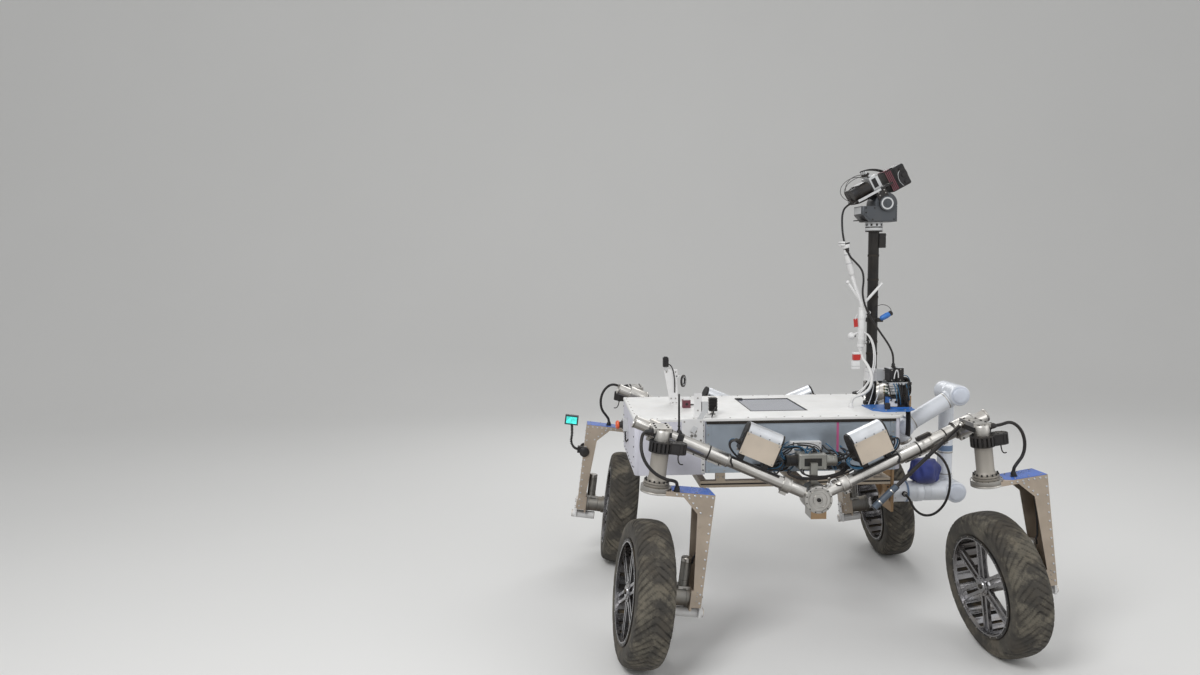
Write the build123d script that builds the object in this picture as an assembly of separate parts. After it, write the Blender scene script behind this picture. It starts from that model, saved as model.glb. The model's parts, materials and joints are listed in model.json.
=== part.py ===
from build123d import *
import os
from math import radians, sin, cos, tan

# Four-wheel test rover for planetary soil, standing in crab mode. Millimetres, +X forward, +Y left, +Z up.
# The origin is on the ground, midway between the four wheels.

# wheels
wheel_radius = 290.0
tyre_width = 156.0
tyre_crown_width = 116.0
tyre_shoulder_drop = 18.0
tyre_bulge_lift = 10.0
bead_lip_gap = 2.0
rim_radius = 200.0
rim_width = 150.0
rim_wall = 9.0
rim_lip = 5.0
rim_lip_width = 6.0
bead_gap = 5.0
rim_slots = 24
rim_slot_width = 15.0
rim_slot_length = 124.0
spoke_pairs = 6
spoke_pair_pitch = 30.0
spoke_width = 13.0
spoke_depth = 15.0
spoke_offset = -52.0
hub_radius = 30.0
hub_nose_radius = 40.0
axle_radius = 12.0

# where the wheels stand and how the steering axes lean
wheel_x = 715.0
wheel_y = 618.0
lean_deg = 7.2
tyre_round = 75.0
running_clearance = 0.4

# steering legs, measured from the wheel centre: reach along the axle, height along the steering axis
leg_reach = 228.0
leg_top = 427.0
leg_bottom = -28.0
leg_width = 104.0
leg_sheet = 4.0
leg_arm_height = 18.0
leg_post_top_depth = 62.0
leg_post_foot_depth = 32.0
leg_gusset = 62.0
leg_flange_radius = 60.0
leg_flange_height = 26.0
foot_plate_gap = 46.0
foot_plate_depth = 8.0
foot_plate_height = 84.0

# wheel drive: gearbox in line with the axle, motor standing on it, white guard bracket below
gearbox_radius = 40.0
gearbox_start = 88.0
motor_radius = 22.0
motor_height = 128.0
motor_reach = 160.0
guard_radius = 19.0
guard_start = 132.0
guard_overhang = 24.0
guard_plate = 6.0
guard_gap = 3.0
guard_height = 84.0
bearing_depth = 45.0
gearbox_rim = 4.0
gearbox_rim_length = 12.0
gearbox_rim_wall = 12.0
motor_seat = 8.0
axle_reach = 40.0

# steering drive on top of each leg
drive_flange_radius = 52.0
drive_flange_height = 18.0
drive_body_radius = 34.0
drive_ring_radius = 47.0
drive_ring_height = 44.0
drive_ring_base = 568.0
drive_lobe_radius = 30.0
drive_lobe_reach = 72.0
drive_lobe_height = 44.0
drive_lobe_lift = 0.0
drive_cap_radius = 30.0
drive_top = 655.0
drive_block_width = 71.0
drive_block_height = 36.0
drive_block_drop = 12.0
drive_block_overlap = 9.0

# rocker tubes of the suspension, one bent pair on each side
rocker_end_x = 732.0
rocker_end_y = 458.0
rocker_end_z = 946.0
pivot_y = 528.0
pivot_z = 634.0
rocker_tube_radius = 25.0
rocker_bore = 21.0
rocker_collar_radius = 31.0
rocker_collar_length = 34.0
rocker_clamp_radius = 37.0
rocker_clamp_length = 84.0
rocker_bore_depth = 40.0
collar_inner_x = 120.0
rocker_sleeve_radius = 28.5
rocker_sleeve_start = 352.0
pivot_hub_radius = 56.0
pivot_hub_length = 84.0
pivot_tube_radius = 27.0
stop_width = 62.0
stop_height = 30.0
stop_seat = 8.0

# body box
body_rear = -711.0
body_front = 441.0
body_half_width = 306.0
body_bottom = 688.0
body_top = 912.0
body_wall = 8.0
panel_thickness = 6.0
panel_rear = -412.0
panel_rim = 22.0
panel_top_rim = 2.0
panel_recess = 3.0
rear_cover_gap = 4.0
lid_thickness = 12.0
lid_overhang = 6.0
lid_chamfer = 3.0
body_corner = 30.0
rear_corner = 12.0
window_rear = -176.0
window_front = 66.0
window_half_width = 165.0
window_offset = 25.0
window_ledge = 4.0
window_sink = 1.0
deck_hole_radius = 2.75
deck_holes_x = 160.0
deck_holes_y = 300.0
deck_holes_centre = -330.0
battery_length = 420.0
battery_width = 360.0
battery_height = 130.0

# underframe rails and the carrier of the robot arm
rail_y = 200.0
rail_rear = -420.0
rail_front = 430.0
rail_size = 30.0
rail_z = 614.0
hanger_x = 330.0
hanger_width = 40.0
arm_plate_x = 500.0
arm_plate_thickness = 12.0
arm_plate_half_width = 78.0
arm_plate_bottom = 432.0
arm_plate_top = 632.0
arm_beam_y = 60.0
arm_beam_width = 24.0
arm_web_thickness = 5.0
arm_web_foot = 40.0
cross_end_gap = 2.0

# boxes carried by the rocker tubes
box_x = 267.0
box_length = 158.0
box_height = 118.0
box_thickness = 78.0
box_lift = 37.0
box_round = 34.0
box_foot_length = 24.0
box_foot_width = 30.0
box_foot_sink = 6.0
box_foot_seat = 3.0
junction_length = 116.0
junction_height = 66.0
junction_thickness = 70.0
junction_z = 768.0
junction_y = 452.0
connector_radius = 21.0
connector_length = 48.0
connector_seat = 4.0
junction_round = 5.0
strap_width = 28.0
strap_seat = 4.0
strap_lap = 20.0
side_box_length = 128.0
side_box_height = 62.0
side_box_depth = 30.0
side_box_x = 14.0
side_box_z = 790.0
side_box_round = 6.0

# mast and camera head
mast_x = 412.0
mast_radius = 24.0
mast_wall = 3.0
mast_top = 1722.0
mast_foot_radius = 34.0
mast_foot_height = 14.0
mast_mount_radius = 38.0
mast_mount_height = 40.0
mast_mount_skirt = 4.0
mast_socket = 60.0
mast_block_depth = 30.0
mast_block_width = 42.0
mast_block_height = 66.0
mast_block_z = 1678.0
mast_block_seat = 5.0
pan_rear = 335.0
pan_front = 500.0
pan_half_width = 58.0
pan_shoulder_z = 1832.0
pan_corner = 12.0
pan_rear_cut = 34.0
tilt_x = 446.0
tilt_z = 1843.0
tilt_radius = 50.0
head_slope_deg = 28.0
head_plate_rear = -113.0
camera_body_rear = 56.0
camera_body_base = 26.0
head_plate_lift = 66.0
head_plate_thickness = 8.0
head_arm_width = 34.0
head_arm_thickness = 7.0
camera_body_length = 96.0
camera_body_width = 92.0
camera_body_height = 100.0
lens_radius = 27.0
lens_length = 83.0
head_gland_length = 14.0
head_gland_radius = 8.0
camera_corner = 8.0
lens_gap = 3.0
lens_sink = 1.0
lens_overhang = 0.0

# robot arm
arm_z = 507.0
arm_base_radius = 48.0
arm_base_end = 660.0
arm_flange_radius = 62.0
arm_flange_thickness = 14.0
shoulder_x = 810.0
shoulder_radius = 49.0
shoulder_half = 48.0
elbow_x = 815.0
elbow_z = 962.0
elbow_radius = 48.0
upper_arm_y = 91.0
upper_arm_radius = 34.0
upper_arm_half = 43.0
forearm_length = 290.0
forearm_drop_deg = 30.7
forearm_radius = 40.0
wrist_radius = 36.0
forearm_end_radius = 42.0
wrist_y = 84.0
wrist_half = 38.0
wrist_drop = 88.0
flange_radius = 31.5
flange_height = 14.0
flange_pcd = 50.0
flange_hole_radius = 3.3
flange_holes = 4
hood_length = 128.0
hood_height = 116.0
hood_width = 104.0
hood_x = 674.0
hood_round = 24.0
hood_gap = 8.0
shoulder_step = 3.0
arm_cap_step = 10.0
arm_cap_length = 12.0
wrist_step = 2.0
flange_floor = 3.0

# fittings on the deck, the tail and the tubes
tail_post_x = -475.0
tail_post_y = 120.0
tail_post_top_width = 65.0
tail_post_foot_width = 36.0
tail_post_height = 160.0
tail_post_sheet = 6.0
tail_post_foot = 60.0
tail_head_width = 25.0
tail_head_height = 44.0
tail_head_x = -531.0
tail_neck_width = 14.0
tail_neck_height = 13.0
tail_ring_radius = 29.0
tail_ring_bore = 17.0
tail_ring_width = 8.0
tail_ring_x = -447.0
tail_ring_turn_deg = 60.0
tail_ring_height = 104.0
fitting_round = 3.0
red_block_size = 36.0
red_block_x = -453.5
red_block_y = -20.0
deck_box_x = -364.0
deck_box_y = -205.0
deck_box_width = 36.0
deck_box_height = 59.0
deck_box_lift = 15.0
deck_pin_radius = 7.0
side_plate_x = -471.0
side_plate_width = 91.0
side_plate_drop = 103.0
side_plate_rise = 0.0
side_plate_sheet = 5.0
side_plate_foot = 30.0
stop_button_y = 40.0
stop_button_z = 838.0
stop_button_radius = 20.0
stop_base_size = 54.0
stop_base_depth = 24.0
stop_base_round = 8.0
stop_neck_radius = 14.0
stop_neck_length = 16.0
stop_cap_length = 18.0
stop_cap_round = 4.0
antenna_x = -550.0
antenna_height = 189.0
antenna_radius = 4.5
antenna_base_radius = 14.0
antenna_base_rise = 12.0
tube_box_x = 470.0
tube_box_length = 62.0
tube_box_height = 18.0
tube_box_width = 48.0
tube_box_sink = 4.0

# electronics on the front of the deck
carrier_rear = 352.0
carrier_front = 545.0
carrier_left = -48.0
carrier_right = -226.0
carrier_thickness = 5.0
carrier_chamfer = 40.0
stack_rear = 442.0
stack_left = -52.0
power_unit_length = 102.0
power_unit_width = 96.0
power_unit_height = 54.0
board_stack_length = 84.0
board_stack_width = 80.0
board_stack_height = 48.0
board_stack_inset = 6.0
stack_tray_length = 106.0
stack_tray_width = 92.0
stack_tray_height = 12.0
stack_tray_overhang = 2.0
radio_length = 66.0
radio_width = 70.0
radio_height = 62.0
radio_inset = 10.0
mast_box_rear = 375.0
mast_box_front = 455.0
mast_box_width = 64.0
mast_box_lift = 115.0
mast_box_height = 56.0
mast_box_round = 6.0

# white cable boom tied to the mast, and the straight conduit at the front right
boom_y = -45.0
boom_tip_x = 262.0
boom_tip_z = 1668.0
boom_bend_x = 300.0
boom_bend_z = 1520.0
boom_sleeve_top_x = 350.0
boom_sleeve_top_z = 1376.0
boom_sleeve_end_x = 344.0
boom_sleeve_end_z = 1196.0
boom_twig_radius = 6.0
boom_twig_rear_x = 280.0
boom_twig_rear_z = 1490.0
boom_twig_front_x = 436.0
boom_twig_front_z = 1482.0
boom_twig_lift = 10.0
boom_tie_radius = 8.0
boom_tie_upper_z = 1350.0
boom_tie_lower_z = 1215.0
boom_tie_reach = 62.0
boom_tip_offset = 5.0
boom_radius = 9.0
boom_sleeve_radius = 16.0
boom_tip_radius = 20.0
boom_tip_length = 24.0
conduit_radius = 8.0
conduit_sleeve_radius = 13.0
conduit_sleeve_length = 135.0
conduit_seat = 20.0
conduit_y = -530.0
conduit_end_x = 238.0
conduit_end_z = 582.0

# leads
steer_lead_diameter = 13.0
mast_lead_diameter = 9.0
boom_hose_diameter = 14.0
arm_lead_diameter = 11.0

# small camera on a bent arm, clamped to the rear left leg: reach and height in the frame of that leg
spy_clamp_height = 282.0
spy_clamp_size = 34.0
spy_width = 71.0
spy_depth = 33.0
spy_tall = 50.0
spy_reach = 310.0
spy_height = 435.0
spy_neck_diameter = 9.0
spy_round = 5.0
spy_seat = 4.0

# wheel corners, named as the rover sees them, with the steering angle that was left in on parking
# columns: name, fore side, left side, leg direction, steering angle in degrees
CORNERS = [
    ("rear_right", -1, -1, 1, 4.5),
    ("front_right", 1, -1, 1, 4.0),
    ("rear_left", -1, 1, -1, -2.0),
    ("front_left", 1, 1, -1, -1.5),
]

# values that follow from the sizes above
wheel_centre_z = (wheel_radius - tyre_round) * cos(radians(lean_deg)) + tyre_round
tyre_bore = rim_radius + running_clearance
gearbox_end = leg_reach - foot_plate_gap
lid_top = body_top + lid_thickness
pan_base_z = mast_top + mast_mount_height + running_clearance
guard_z = -foot_plate_height / 2 - guard_radius - guard_gap
cover_outer_y = body_half_width + panel_thickness
cover_rear_x = body_rear - panel_thickness
guard_end = leg_reach + guard_overhang
forearm_end_x = elbow_x - forearm_length * cos(radians(forearm_drop_deg))
forearm_end_z = elbow_z - forearm_length * sin(radians(forearm_drop_deg))


def block(size_x, size_y, size_z, centre):
    return Pos(*centre) * Box(size_x, size_y, size_z)


def span_box(low, high):
    sizes = [b - a for a, b in zip(low, high)]
    centre = [(a + b) / 2 for a, b in zip(low, high)]
    return Pos(*centre) * Box(*sizes)


def rod(start, end, radius):
    start = Vector(*start)
    end = Vector(*end)
    way = end - start
    return Plane(origin=start, z_dir=way).location * Cylinder(
        radius, way.length, align=(Align.CENTER, Align.CENTER, Align.MIN)
    )


def disc(radius, low, high, at=(0, 0)):
    return rod((at[0], at[1], low), (at[0], at[1], high), radius)


def save(node, shape):
    shape = Compound(children=list(shape.solids())) if len(shape.solids()) > 1 else shape.solids()[0]
    export_step(shape, f"parts/{node}.step")


def corner_plane(fore, left, leg, steer_deg):
    """Frame at a wheel centre: x along the axle towards the leg, z up along the leaning steering axis."""
    lean = radians(lean_deg)
    up = Vector(-fore * sin(lean), 0, cos(lean))
    ahead = Vector(cos(lean), 0, fore * sin(lean)) * leg
    side = up.cross(ahead)
    turned = ahead * cos(radians(steer_deg)) + side * sin(radians(steer_deg))
    return Plane(origin=(fore * wheel_x, left * wheel_y, wheel_centre_z), x_dir=turned, z_dir=up)


def make_tyre():
    half = tyre_width / 2
    crown = tyre_crown_width / 2
    shoulder = wheel_radius - tyre_shoulder_drop
    bead = rim_width / 2 - rim_lip - bead_gap
    bulge = (tyre_bore + shoulder) / 2 + tyre_bulge_lift
    bead_top = rim_radius + rim_lip + bead_lip_gap
    with BuildPart() as tyre:
        with BuildSketch(Plane.XY):
            with BuildLine():
                Polyline((-bead, bead_top), (-bead, tyre_bore), (bead, tyre_bore), (bead, bead_top))
                ThreePointArc((bead, bead_top), (half, bulge), (crown, shoulder))
                ThreePointArc((crown, shoulder), (0, wheel_radius), (-crown, shoulder))
                ThreePointArc((-crown, shoulder), (-half, bulge), (-bead, bead_top))
            make_face()
        revolve(axis=Axis.X)
    return tyre.part


def ring_x(outer, inner, low, high):
    return rod((low, 0, 0), (high, 0, 0), outer) - rod((low - 1, 0, 0), (high + 1, 0, 0), inner)


def make_rim():
    half = rim_width / 2
    inner = rim_radius - rim_wall
    rim = ring_x(rim_radius, inner, -half, half)
    rim += ring_x(rim_radius + rim_lip, inner, -half, -half + rim_lip_width)
    rim += ring_x(rim_radius + rim_lip, inner, half - rim_lip_width, half)
    slot = block(rim_slot_length, rim_slot_width, 4 * rim_wall, (0, 0, rim_radius))
    rim -= [Rot(X=360.0 * i / rim_slots) * slot for i in range(rim_slots)]
    reach = inner + rim_wall / 2
    bar = block(spoke_depth, spoke_width, reach, (spoke_offset, 0, reach / 2))
    bars = [
        Rot(X=360.0 * i / spoke_pairs) * Pos(0, side * spoke_pair_pitch / 2, 0) * bar
        for i in range(spoke_pairs)
        for side in (-1, 1)
    ]
    nose = rod((spoke_offset - spoke_depth, 0, 0), (spoke_offset + spoke_depth, 0, 0), hub_nose_radius)
    hub = rod((spoke_offset, 0, 0), (gearbox_start - running_clearance, 0, 0), hub_radius)
    axle = rod((0, 0, 0), (gearbox_start + axle_reach, 0, 0), axle_radius)
    return rim + bars + nose + hub + axle


def make_leg():
    post_top = leg_top - leg_arm_height - leg_gusset
    outline = [
        (0.0, leg_top),
        (leg_reach, leg_top),
        (leg_reach, leg_bottom),
        (leg_reach - leg_post_foot_depth, leg_bottom),
        (leg_reach - leg_post_top_depth, post_top),
        (leg_reach - leg_post_top_depth - leg_gusset, leg_top - leg_arm_height),
        (0.0, leg_top - leg_arm_height),
    ]
    cheek_face = make_face(Polyline(*[(x, 0, z) for x, z in outline], close=True))
    cheek = extrude(cheek_face, leg_sheet, dir=(0, 1, 0))
    half = leg_width / 2
    leg = Pos(0, half - leg_sheet, 0) * cheek + Pos(0, -half, 0) * cheek
    leg += span_box((0, -half, leg_top - leg_sheet), (leg_reach, half, leg_top))
    leg += span_box((leg_reach - leg_sheet, -half, leg_bottom), (leg_reach, half, leg_top))
    leg += disc(leg_flange_radius, leg_top - leg_arm_height, leg_top - leg_arm_height + leg_flange_height)
    plate_half = foot_plate_height / 2
    leg += span_box(
        (gearbox_end, -half, -plate_half), (gearbox_end + foot_plate_depth, half, plate_half)
    )
    leg += span_box((gearbox_end, -half, leg_bottom), (leg_reach, -half + leg_sheet, plate_half))
    leg += span_box((gearbox_end, half - leg_sheet, leg_bottom), (leg_reach, half, plate_half))
    return leg


def make_wheel_drive():
    drive = rod((gearbox_start, 0, 0), (gearbox_end, 0, 0), gearbox_radius)
    bore_end = gearbox_start + bearing_depth
    drive -= rod((gearbox_start - 1, 0, 0), (bore_end, 0, 0), axle_radius + running_clearance / 4)
    rim_outer = gearbox_radius + gearbox_rim
    rim_bore = rim_outer - gearbox_rim_wall
    drive += Pos(gearbox_start, 0, 0) * ring_x(rim_outer, rim_bore, 0, gearbox_rim_length)
    motor_base = gearbox_radius - motor_seat
    drive += disc(motor_radius, motor_base, motor_base + motor_height, at=(motor_reach, 0))
    return drive


def make_guard():
    guard = rod((guard_start, 0, guard_z), (guard_end, 0, guard_z), guard_radius)
    plate_x = leg_reach + guard_plate / 2
    guard += block(guard_plate, leg_width * 0.6, guard_height, (plate_x, 0, guard_z + guard_height / 2))
    return guard


def make_steer_drive(fore, left, leg):
    """Everything of one steering drive that stays with the rocker tubes."""
    flange_base = leg_top - leg_arm_height + leg_flange_height + running_clearance
    drive = disc(drive_flange_radius, flange_base, flange_base + drive_flange_height)
    ring_top = drive_ring_base + drive_ring_height
    drive += disc(drive_body_radius, flange_base, ring_top)
    drive += disc(drive_cap_radius, flange_base, drive_top)
    drive += disc(drive_ring_radius, drive_ring_base, ring_top)
    lobe_base = drive_ring_base + drive_lobe_lift
    drive += disc(drive_lobe_radius, lobe_base, lobe_base + drive_lobe_height, at=(drive_lobe_reach, 0))
    lobe_top = lobe_base + drive_lobe_height
    drive += span_box((0, -drive_lobe_radius, lobe_base), (drive_lobe_reach, drive_lobe_radius, lobe_top))
    drive = corner_plane(fore, left, leg, 0).location * drive
    axis_x = fore * drive_axis_x()
    tube_y = rocker_point(axis_x, left)[1]
    out_y = left * (wheel_y + drive_block_overlap)
    low_y, high_y = sorted((tube_y, out_y))
    carrier = span_box(
        (axis_x - drive_block_width / 2, low_y, drive_block_z() - drive_block_height / 2),
        (axis_x + drive_block_width / 2, high_y, drive_block_z() + drive_block_height / 2),
    )
    cut_start = rocker_point(axis_x - 2 * drive_block_width, left)
    cut_end = rocker_point(axis_x + 2 * drive_block_width, left)
    carrier -= rod(cut_start, cut_end, rocker_clamp_radius)
    return drive + carrier


def drive_block_z():
    return wheel_centre_z + drive_top * cos(radians(lean_deg)) - drive_block_drop


def rocker_point(x, left):
    """Point on the centre line of a rocker tube at this x."""
    share = abs(x) / rocker_end_x
    y = left * (pivot_y + (rocker_end_y - pivot_y) * share)
    return (x, y, pivot_z + (rocker_end_z - pivot_z) * share)


def make_rocker(left):
    hub_inner = left * (pivot_y - pivot_hub_length / 2)
    hub_outer = left * (pivot_y + pivot_hub_length / 2)
    rocker = rod((0, hub_inner, pivot_z), (0, hub_outer, pivot_z), pivot_hub_radius)
    sleeve_middle = (rocker_sleeve_start + drive_axis_x()) / 2
    sleeve_length = drive_axis_x() - rocker_sleeve_start
    for fore in (-1, 1):
        rocker += rod(rocker_point(0, left), rocker_point(fore * rocker_end_x, left), rocker_tube_radius)
        # collar, sleeve and clamp: distance from the pivot along x, radius, length
        for centre_x, radius, length in (
            (collar_inner_x, rocker_collar_radius, rocker_collar_length),
            (sleeve_middle, rocker_sleeve_radius, sleeve_length),
            (drive_axis_x(), rocker_clamp_radius, rocker_clamp_length),
        ):
            start = rocker_point(fore * (centre_x - length / 2), left)
            end = rocker_point(fore * (centre_x + length / 2), left)
            rocker += rod(start, end, radius)
        tip = rocker_point(fore * (rocker_end_x + 1.0), left)
        rocker -= rod(rocker_point(fore * (rocker_end_x - rocker_bore_depth), left), tip, rocker_bore)
    stop_low = pivot_z - pivot_hub_radius - stop_height / 2
    rocker += block(stop_width, pivot_hub_length, stop_height, (0, left * pivot_y, stop_low + stop_seat))
    seat_radius = pivot_tube_radius + running_clearance
    rocker -= rod((0, hub_inner - left, pivot_z), (0, left * pivot_y, pivot_z), seat_radius)
    return rocker


def drive_axis_x():
    return wheel_x - tan(radians(lean_deg)) * (drive_block_z() - wheel_centre_z)


def make_body():
    low = (body_rear, -body_half_width, body_bottom)
    high = (body_front, body_half_width, body_top)
    tub = span_box(low, high)
    posts = tub.edges().filter_by(Axis.Z).sort_by(Axis.X)
    tub = fillet(posts[:2], rear_corner)
    tub = fillet(tub.edges().filter_by(Axis.Z).sort_by(Axis.X)[-2:], body_corner)
    tub -= span_box(
        (body_rear + body_wall, -body_half_width + body_wall, body_bottom + body_wall),
        (body_front - body_wall, body_half_width - body_wall, body_top + 1.0),
    )
    return tub


def make_lid():
    low = (body_rear - lid_overhang, -body_half_width - lid_overhang, body_top)
    high = (body_front + lid_overhang, body_half_width + lid_overhang, lid_top)
    lid = span_box(low, high)
    fronts = lid.edges().filter_by(Axis.Z).sort_by(Axis.X)[-2:]
    lid = fillet(fronts, body_corner + lid_overhang)
    lid = chamfer(lid.faces().sort_by(Axis.Z)[-1].edges(), lid_chamfer)
    lid -= window_box(0.0, -1.0, lid_thickness + 1.0)
    lid -= window_box(window_ledge, lid_thickness - window_ledge, lid_thickness + 1.0)
    for side_x in (-1, 1):
        for side_y in (-1, 1):
            at = (deck_holes_centre + side_x * deck_holes_x / 2, side_y * deck_holes_y / 2)
            lid -= disc(deck_hole_radius, body_top - 1, lid_top + 1, at=at)
    return lid


def window_box(margin, low, high):
    return span_box(
        (window_rear - margin, window_offset - window_half_width - margin, body_top + low),
        (window_front + margin, window_offset + window_half_width + margin, body_top + high),
    )


def make_window():
    margin = window_ledge - running_clearance
    return window_box(margin, lid_thickness - window_ledge, lid_thickness - window_sink)


def make_side_panels():
    panels = Part()
    for left in (-1, 1):
        inner = left * body_half_width
        outer = left * (body_half_width + panel_thickness)
        low_y, high_y = sorted((inner, outer))
        panel = span_box((panel_rear, low_y, body_bottom), (body_front - body_corner, high_y, body_top))
        floor_y = outer - left * panel_recess
        recess = span_box(
            (panel_rear + panel_rim, min(outer, floor_y), body_bottom + panel_rim),
            (body_front - body_corner - panel_rim, max(outer, floor_y), body_top - panel_top_rim),
        )
        panels += panel - recess
    return panels


def make_rear_cover():
    outer = span_box(
        (cover_rear_x, -cover_outer_y, body_bottom - panel_thickness),
        (panel_rear - rear_cover_gap, cover_outer_y, body_top),
    )
    outer = fillet(outer.edges().filter_by(Axis.Z).sort_by(Axis.X)[:2], rear_corner + panel_thickness)
    inner = span_box(
        (body_rear, -body_half_width, body_bottom), (panel_rear + 1.0, body_half_width, body_top + 1.0)
    )
    inner = fillet(inner.edges().filter_by(Axis.Z).sort_by(Axis.X)[:2], rear_corner)
    return outer - inner


def make_battery():
    floor = body_bottom + body_wall
    return block(battery_length, battery_width, battery_height, (0, 0, floor + battery_height / 2))


def make_underframe():
    frame = Part()
    rail_half = rail_size / 2
    for side in (-1, 1):
        rail_low = side * rail_y - rail_half
        frame += span_box(
            (rail_rear, rail_low, rail_z - rail_half), (rail_front, rail_low + rail_size, rail_z + rail_half)
        )
        for fore in (-1, 1):
            at = (fore * hanger_x, side * rail_y, (rail_z + body_bottom) / 2)
            frame += block(hanger_width, rail_size, body_bottom - rail_z, at)
    for x in (rail_rear + rail_half, rail_front - rail_half):
        frame += block(rail_size, 2 * rail_y, rail_size, (x, 0, rail_z))
    cross_reach = pivot_y - cross_end_gap
    frame += rod((0, -cross_reach, pivot_z), (0, cross_reach, pivot_z), pivot_tube_radius)
    return frame


def make_arm_bracket():
    plate_rear = arm_plate_x - arm_plate_thickness
    bracket = span_box(
        (plate_rear, -arm_plate_half_width, arm_plate_bottom),
        (arm_plate_x, arm_plate_half_width, arm_plate_top),
    )
    for side in (-1, 1):
        beam_y = side * arm_beam_y
        bracket += span_box(
            (rail_front, beam_y - arm_beam_width / 2, rail_z - rail_size / 2),
            (plate_rear, beam_y + arm_beam_width / 2, rail_z + rail_size / 2),
        )
        web = make_face(
            Polyline(
                (rail_front, beam_y, rail_z - rail_size / 2),
                (plate_rear, beam_y, rail_z - rail_size / 2),
                (plate_rear, beam_y, arm_plate_bottom + arm_web_foot),
                close=True,
            )
        )
        bracket += Pos(0, -arm_web_thickness / 2, 0) * extrude(web, arm_web_thickness, dir=(0, 1, 0))
    return bracket


def make_controllers():
    boxes = Part()
    for left in (-1, 1):
        for fore in (-1, 1):
            start = Vector(*rocker_point(0, left))
            way = (Vector(*rocker_point(fore * rocker_end_x, left)) - start).normalized()
            up = Vector(0, 1, 0).cross(way) * -fore
            plane = Plane(origin=rocker_point(fore * box_x, left), x_dir=way * fore, z_dir=up)
            base = rocker_tube_radius + box_lift
            body = span_box(
                (-box_length / 2, -box_thickness / 2, base),
                (box_length / 2, box_thickness / 2, base + box_height),
            )
            body = fillet(body.edges().filter_by(Axis.X).sort_by(Axis.Z)[-2:], box_round)
            foot_low = rocker_tube_radius - box_foot_seat
            foot_height = box_lift + box_foot_sink
            for foot_x in (-box_length / 3, box_length / 3):
                foot_at = (foot_x, 0, foot_low + foot_height / 2)
                body += block(box_foot_length, box_foot_width, foot_height, foot_at)
            body -= rod((-box_length, 0, 0), (box_length, 0, 0), rocker_tube_radius)
            boxes += plane.location * body
    return boxes


def make_junctions():
    boxes = Part()
    for left in (-1, 1):
        at = (0, left * junction_y, junction_z)
        body = block(junction_length, junction_thickness, junction_height, at)
        body = fillet(body.edges(), junction_round)
        for fore in (-1, 1):
            start = (fore * (junction_length / 2 - connector_seat), left * junction_y, junction_z)
            end = (fore * (junction_length / 2 + connector_length), left * junction_y, junction_z)
            body += rod(start, end, connector_radius)
        hub_top = pivot_z + pivot_hub_radius
        strap_inner = left * (junction_y + junction_thickness / 2 - strap_seat)
        hub_face = pivot_y - pivot_hub_length / 2
        strap_outer = left * (hub_face + strap_lap)
        low_y, high_y = sorted((strap_inner, strap_outer))
        body += span_box(
            (-strap_width / 2, low_y, hub_top - strap_seat), (strap_width / 2, high_y, junction_z)
        )
        cut_start = (0, left * (hub_face - strap_lap), pivot_z)
        cut_end = (0, left * (pivot_y + pivot_hub_length / 2), pivot_z)
        body -= rod(cut_start, cut_end, pivot_hub_radius)
        boxes += body
    return boxes


def make_side_box():
    face = -body_half_width - panel_thickness / 2
    low = (side_box_x - side_box_length / 2, face - side_box_depth, side_box_z - side_box_height / 2)
    high = (side_box_x + side_box_length / 2, face, side_box_z + side_box_height / 2)
    return fillet(span_box(low, high).edges().filter_by(Axis.Y), side_box_round)


def make_mast():
    mast = disc(mast_radius, lid_top, mast_top, at=(mast_x, 0))
    mast -= disc(mast_radius - mast_wall, lid_top - 1, mast_top - mast_socket, at=(mast_x, 0))
    mast += disc(mast_foot_radius, lid_top, lid_top + mast_foot_height, at=(mast_x, 0))
    mount_base = mast_top - mast_mount_skirt
    mast += disc(mast_mount_radius, mount_base, mast_top + mast_mount_height, at=(mast_x, 0))
    block_at = mast_x + mast_radius + mast_block_depth / 2 - mast_block_seat
    mast += block(mast_block_depth, mast_block_width, mast_block_height, (block_at, 0, mast_block_z))
    return mast


def make_pan_unit():
    unit = span_box((pan_rear, -pan_half_width, pan_base_z), (pan_front, pan_half_width, pan_shoulder_z))
    unit = chamfer(unit.edges().filter_by(Axis.Y).group_by(Axis.Z)[0].sort_by(Axis.X)[0], pan_rear_cut)
    unit = fillet(unit.edges().filter_by(Axis.Z), pan_corner)
    unit += rod((tilt_x, -pan_half_width, tilt_z), (tilt_x, pan_half_width, tilt_z), tilt_radius)
    return unit


def make_camera_head():
    inner = pan_half_width + running_clearance
    arm_half = head_arm_width * 0.7
    head = Part()
    for side in (-1, 1):
        head += rod((0, side * inner, 0), (0, side * (inner + head_arm_thickness), 0), head_arm_width)
        low_y, high_y = sorted((side * inner, side * (inner + head_arm_thickness)))
        head += span_box(
            (-arm_half, low_y, 0), (arm_half, high_y, head_plate_lift + head_plate_thickness)
        )
    plate_half = inner + head_arm_thickness
    head += span_box(
        (head_plate_rear, -plate_half, head_plate_lift),
        (camera_body_rear + camera_corner, plate_half, head_plate_lift + head_plate_thickness),
    )
    top = head_plate_lift + head_plate_thickness
    front_x = camera_body_rear + camera_body_length / 2
    camera_at = (front_x, 0, camera_body_base + camera_body_height / 2)
    camera = block(camera_body_length, camera_body_width, camera_body_height, camera_at)
    head += fillet(camera.edges(), camera_corner)
    rear_x = head_plate_rear
    gland_z = head_plate_lift + head_plate_thickness / 2
    head += rod((rear_x, 0, gland_z), (rear_x - head_gland_length, 0, gland_z), head_gland_radius)
    for side in (-1, 1):
        lens_y = side * (lens_radius + lens_gap)
        lens_z = top + lens_radius - lens_sink
        lens_x = rear_x - lens_overhang
        head += rod((lens_x, lens_y, lens_z), (lens_x + lens_length, lens_y, lens_z), lens_radius)
    return Pos(tilt_x, 0, tilt_z) * Rot(Y=-head_slope_deg) * head


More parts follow.
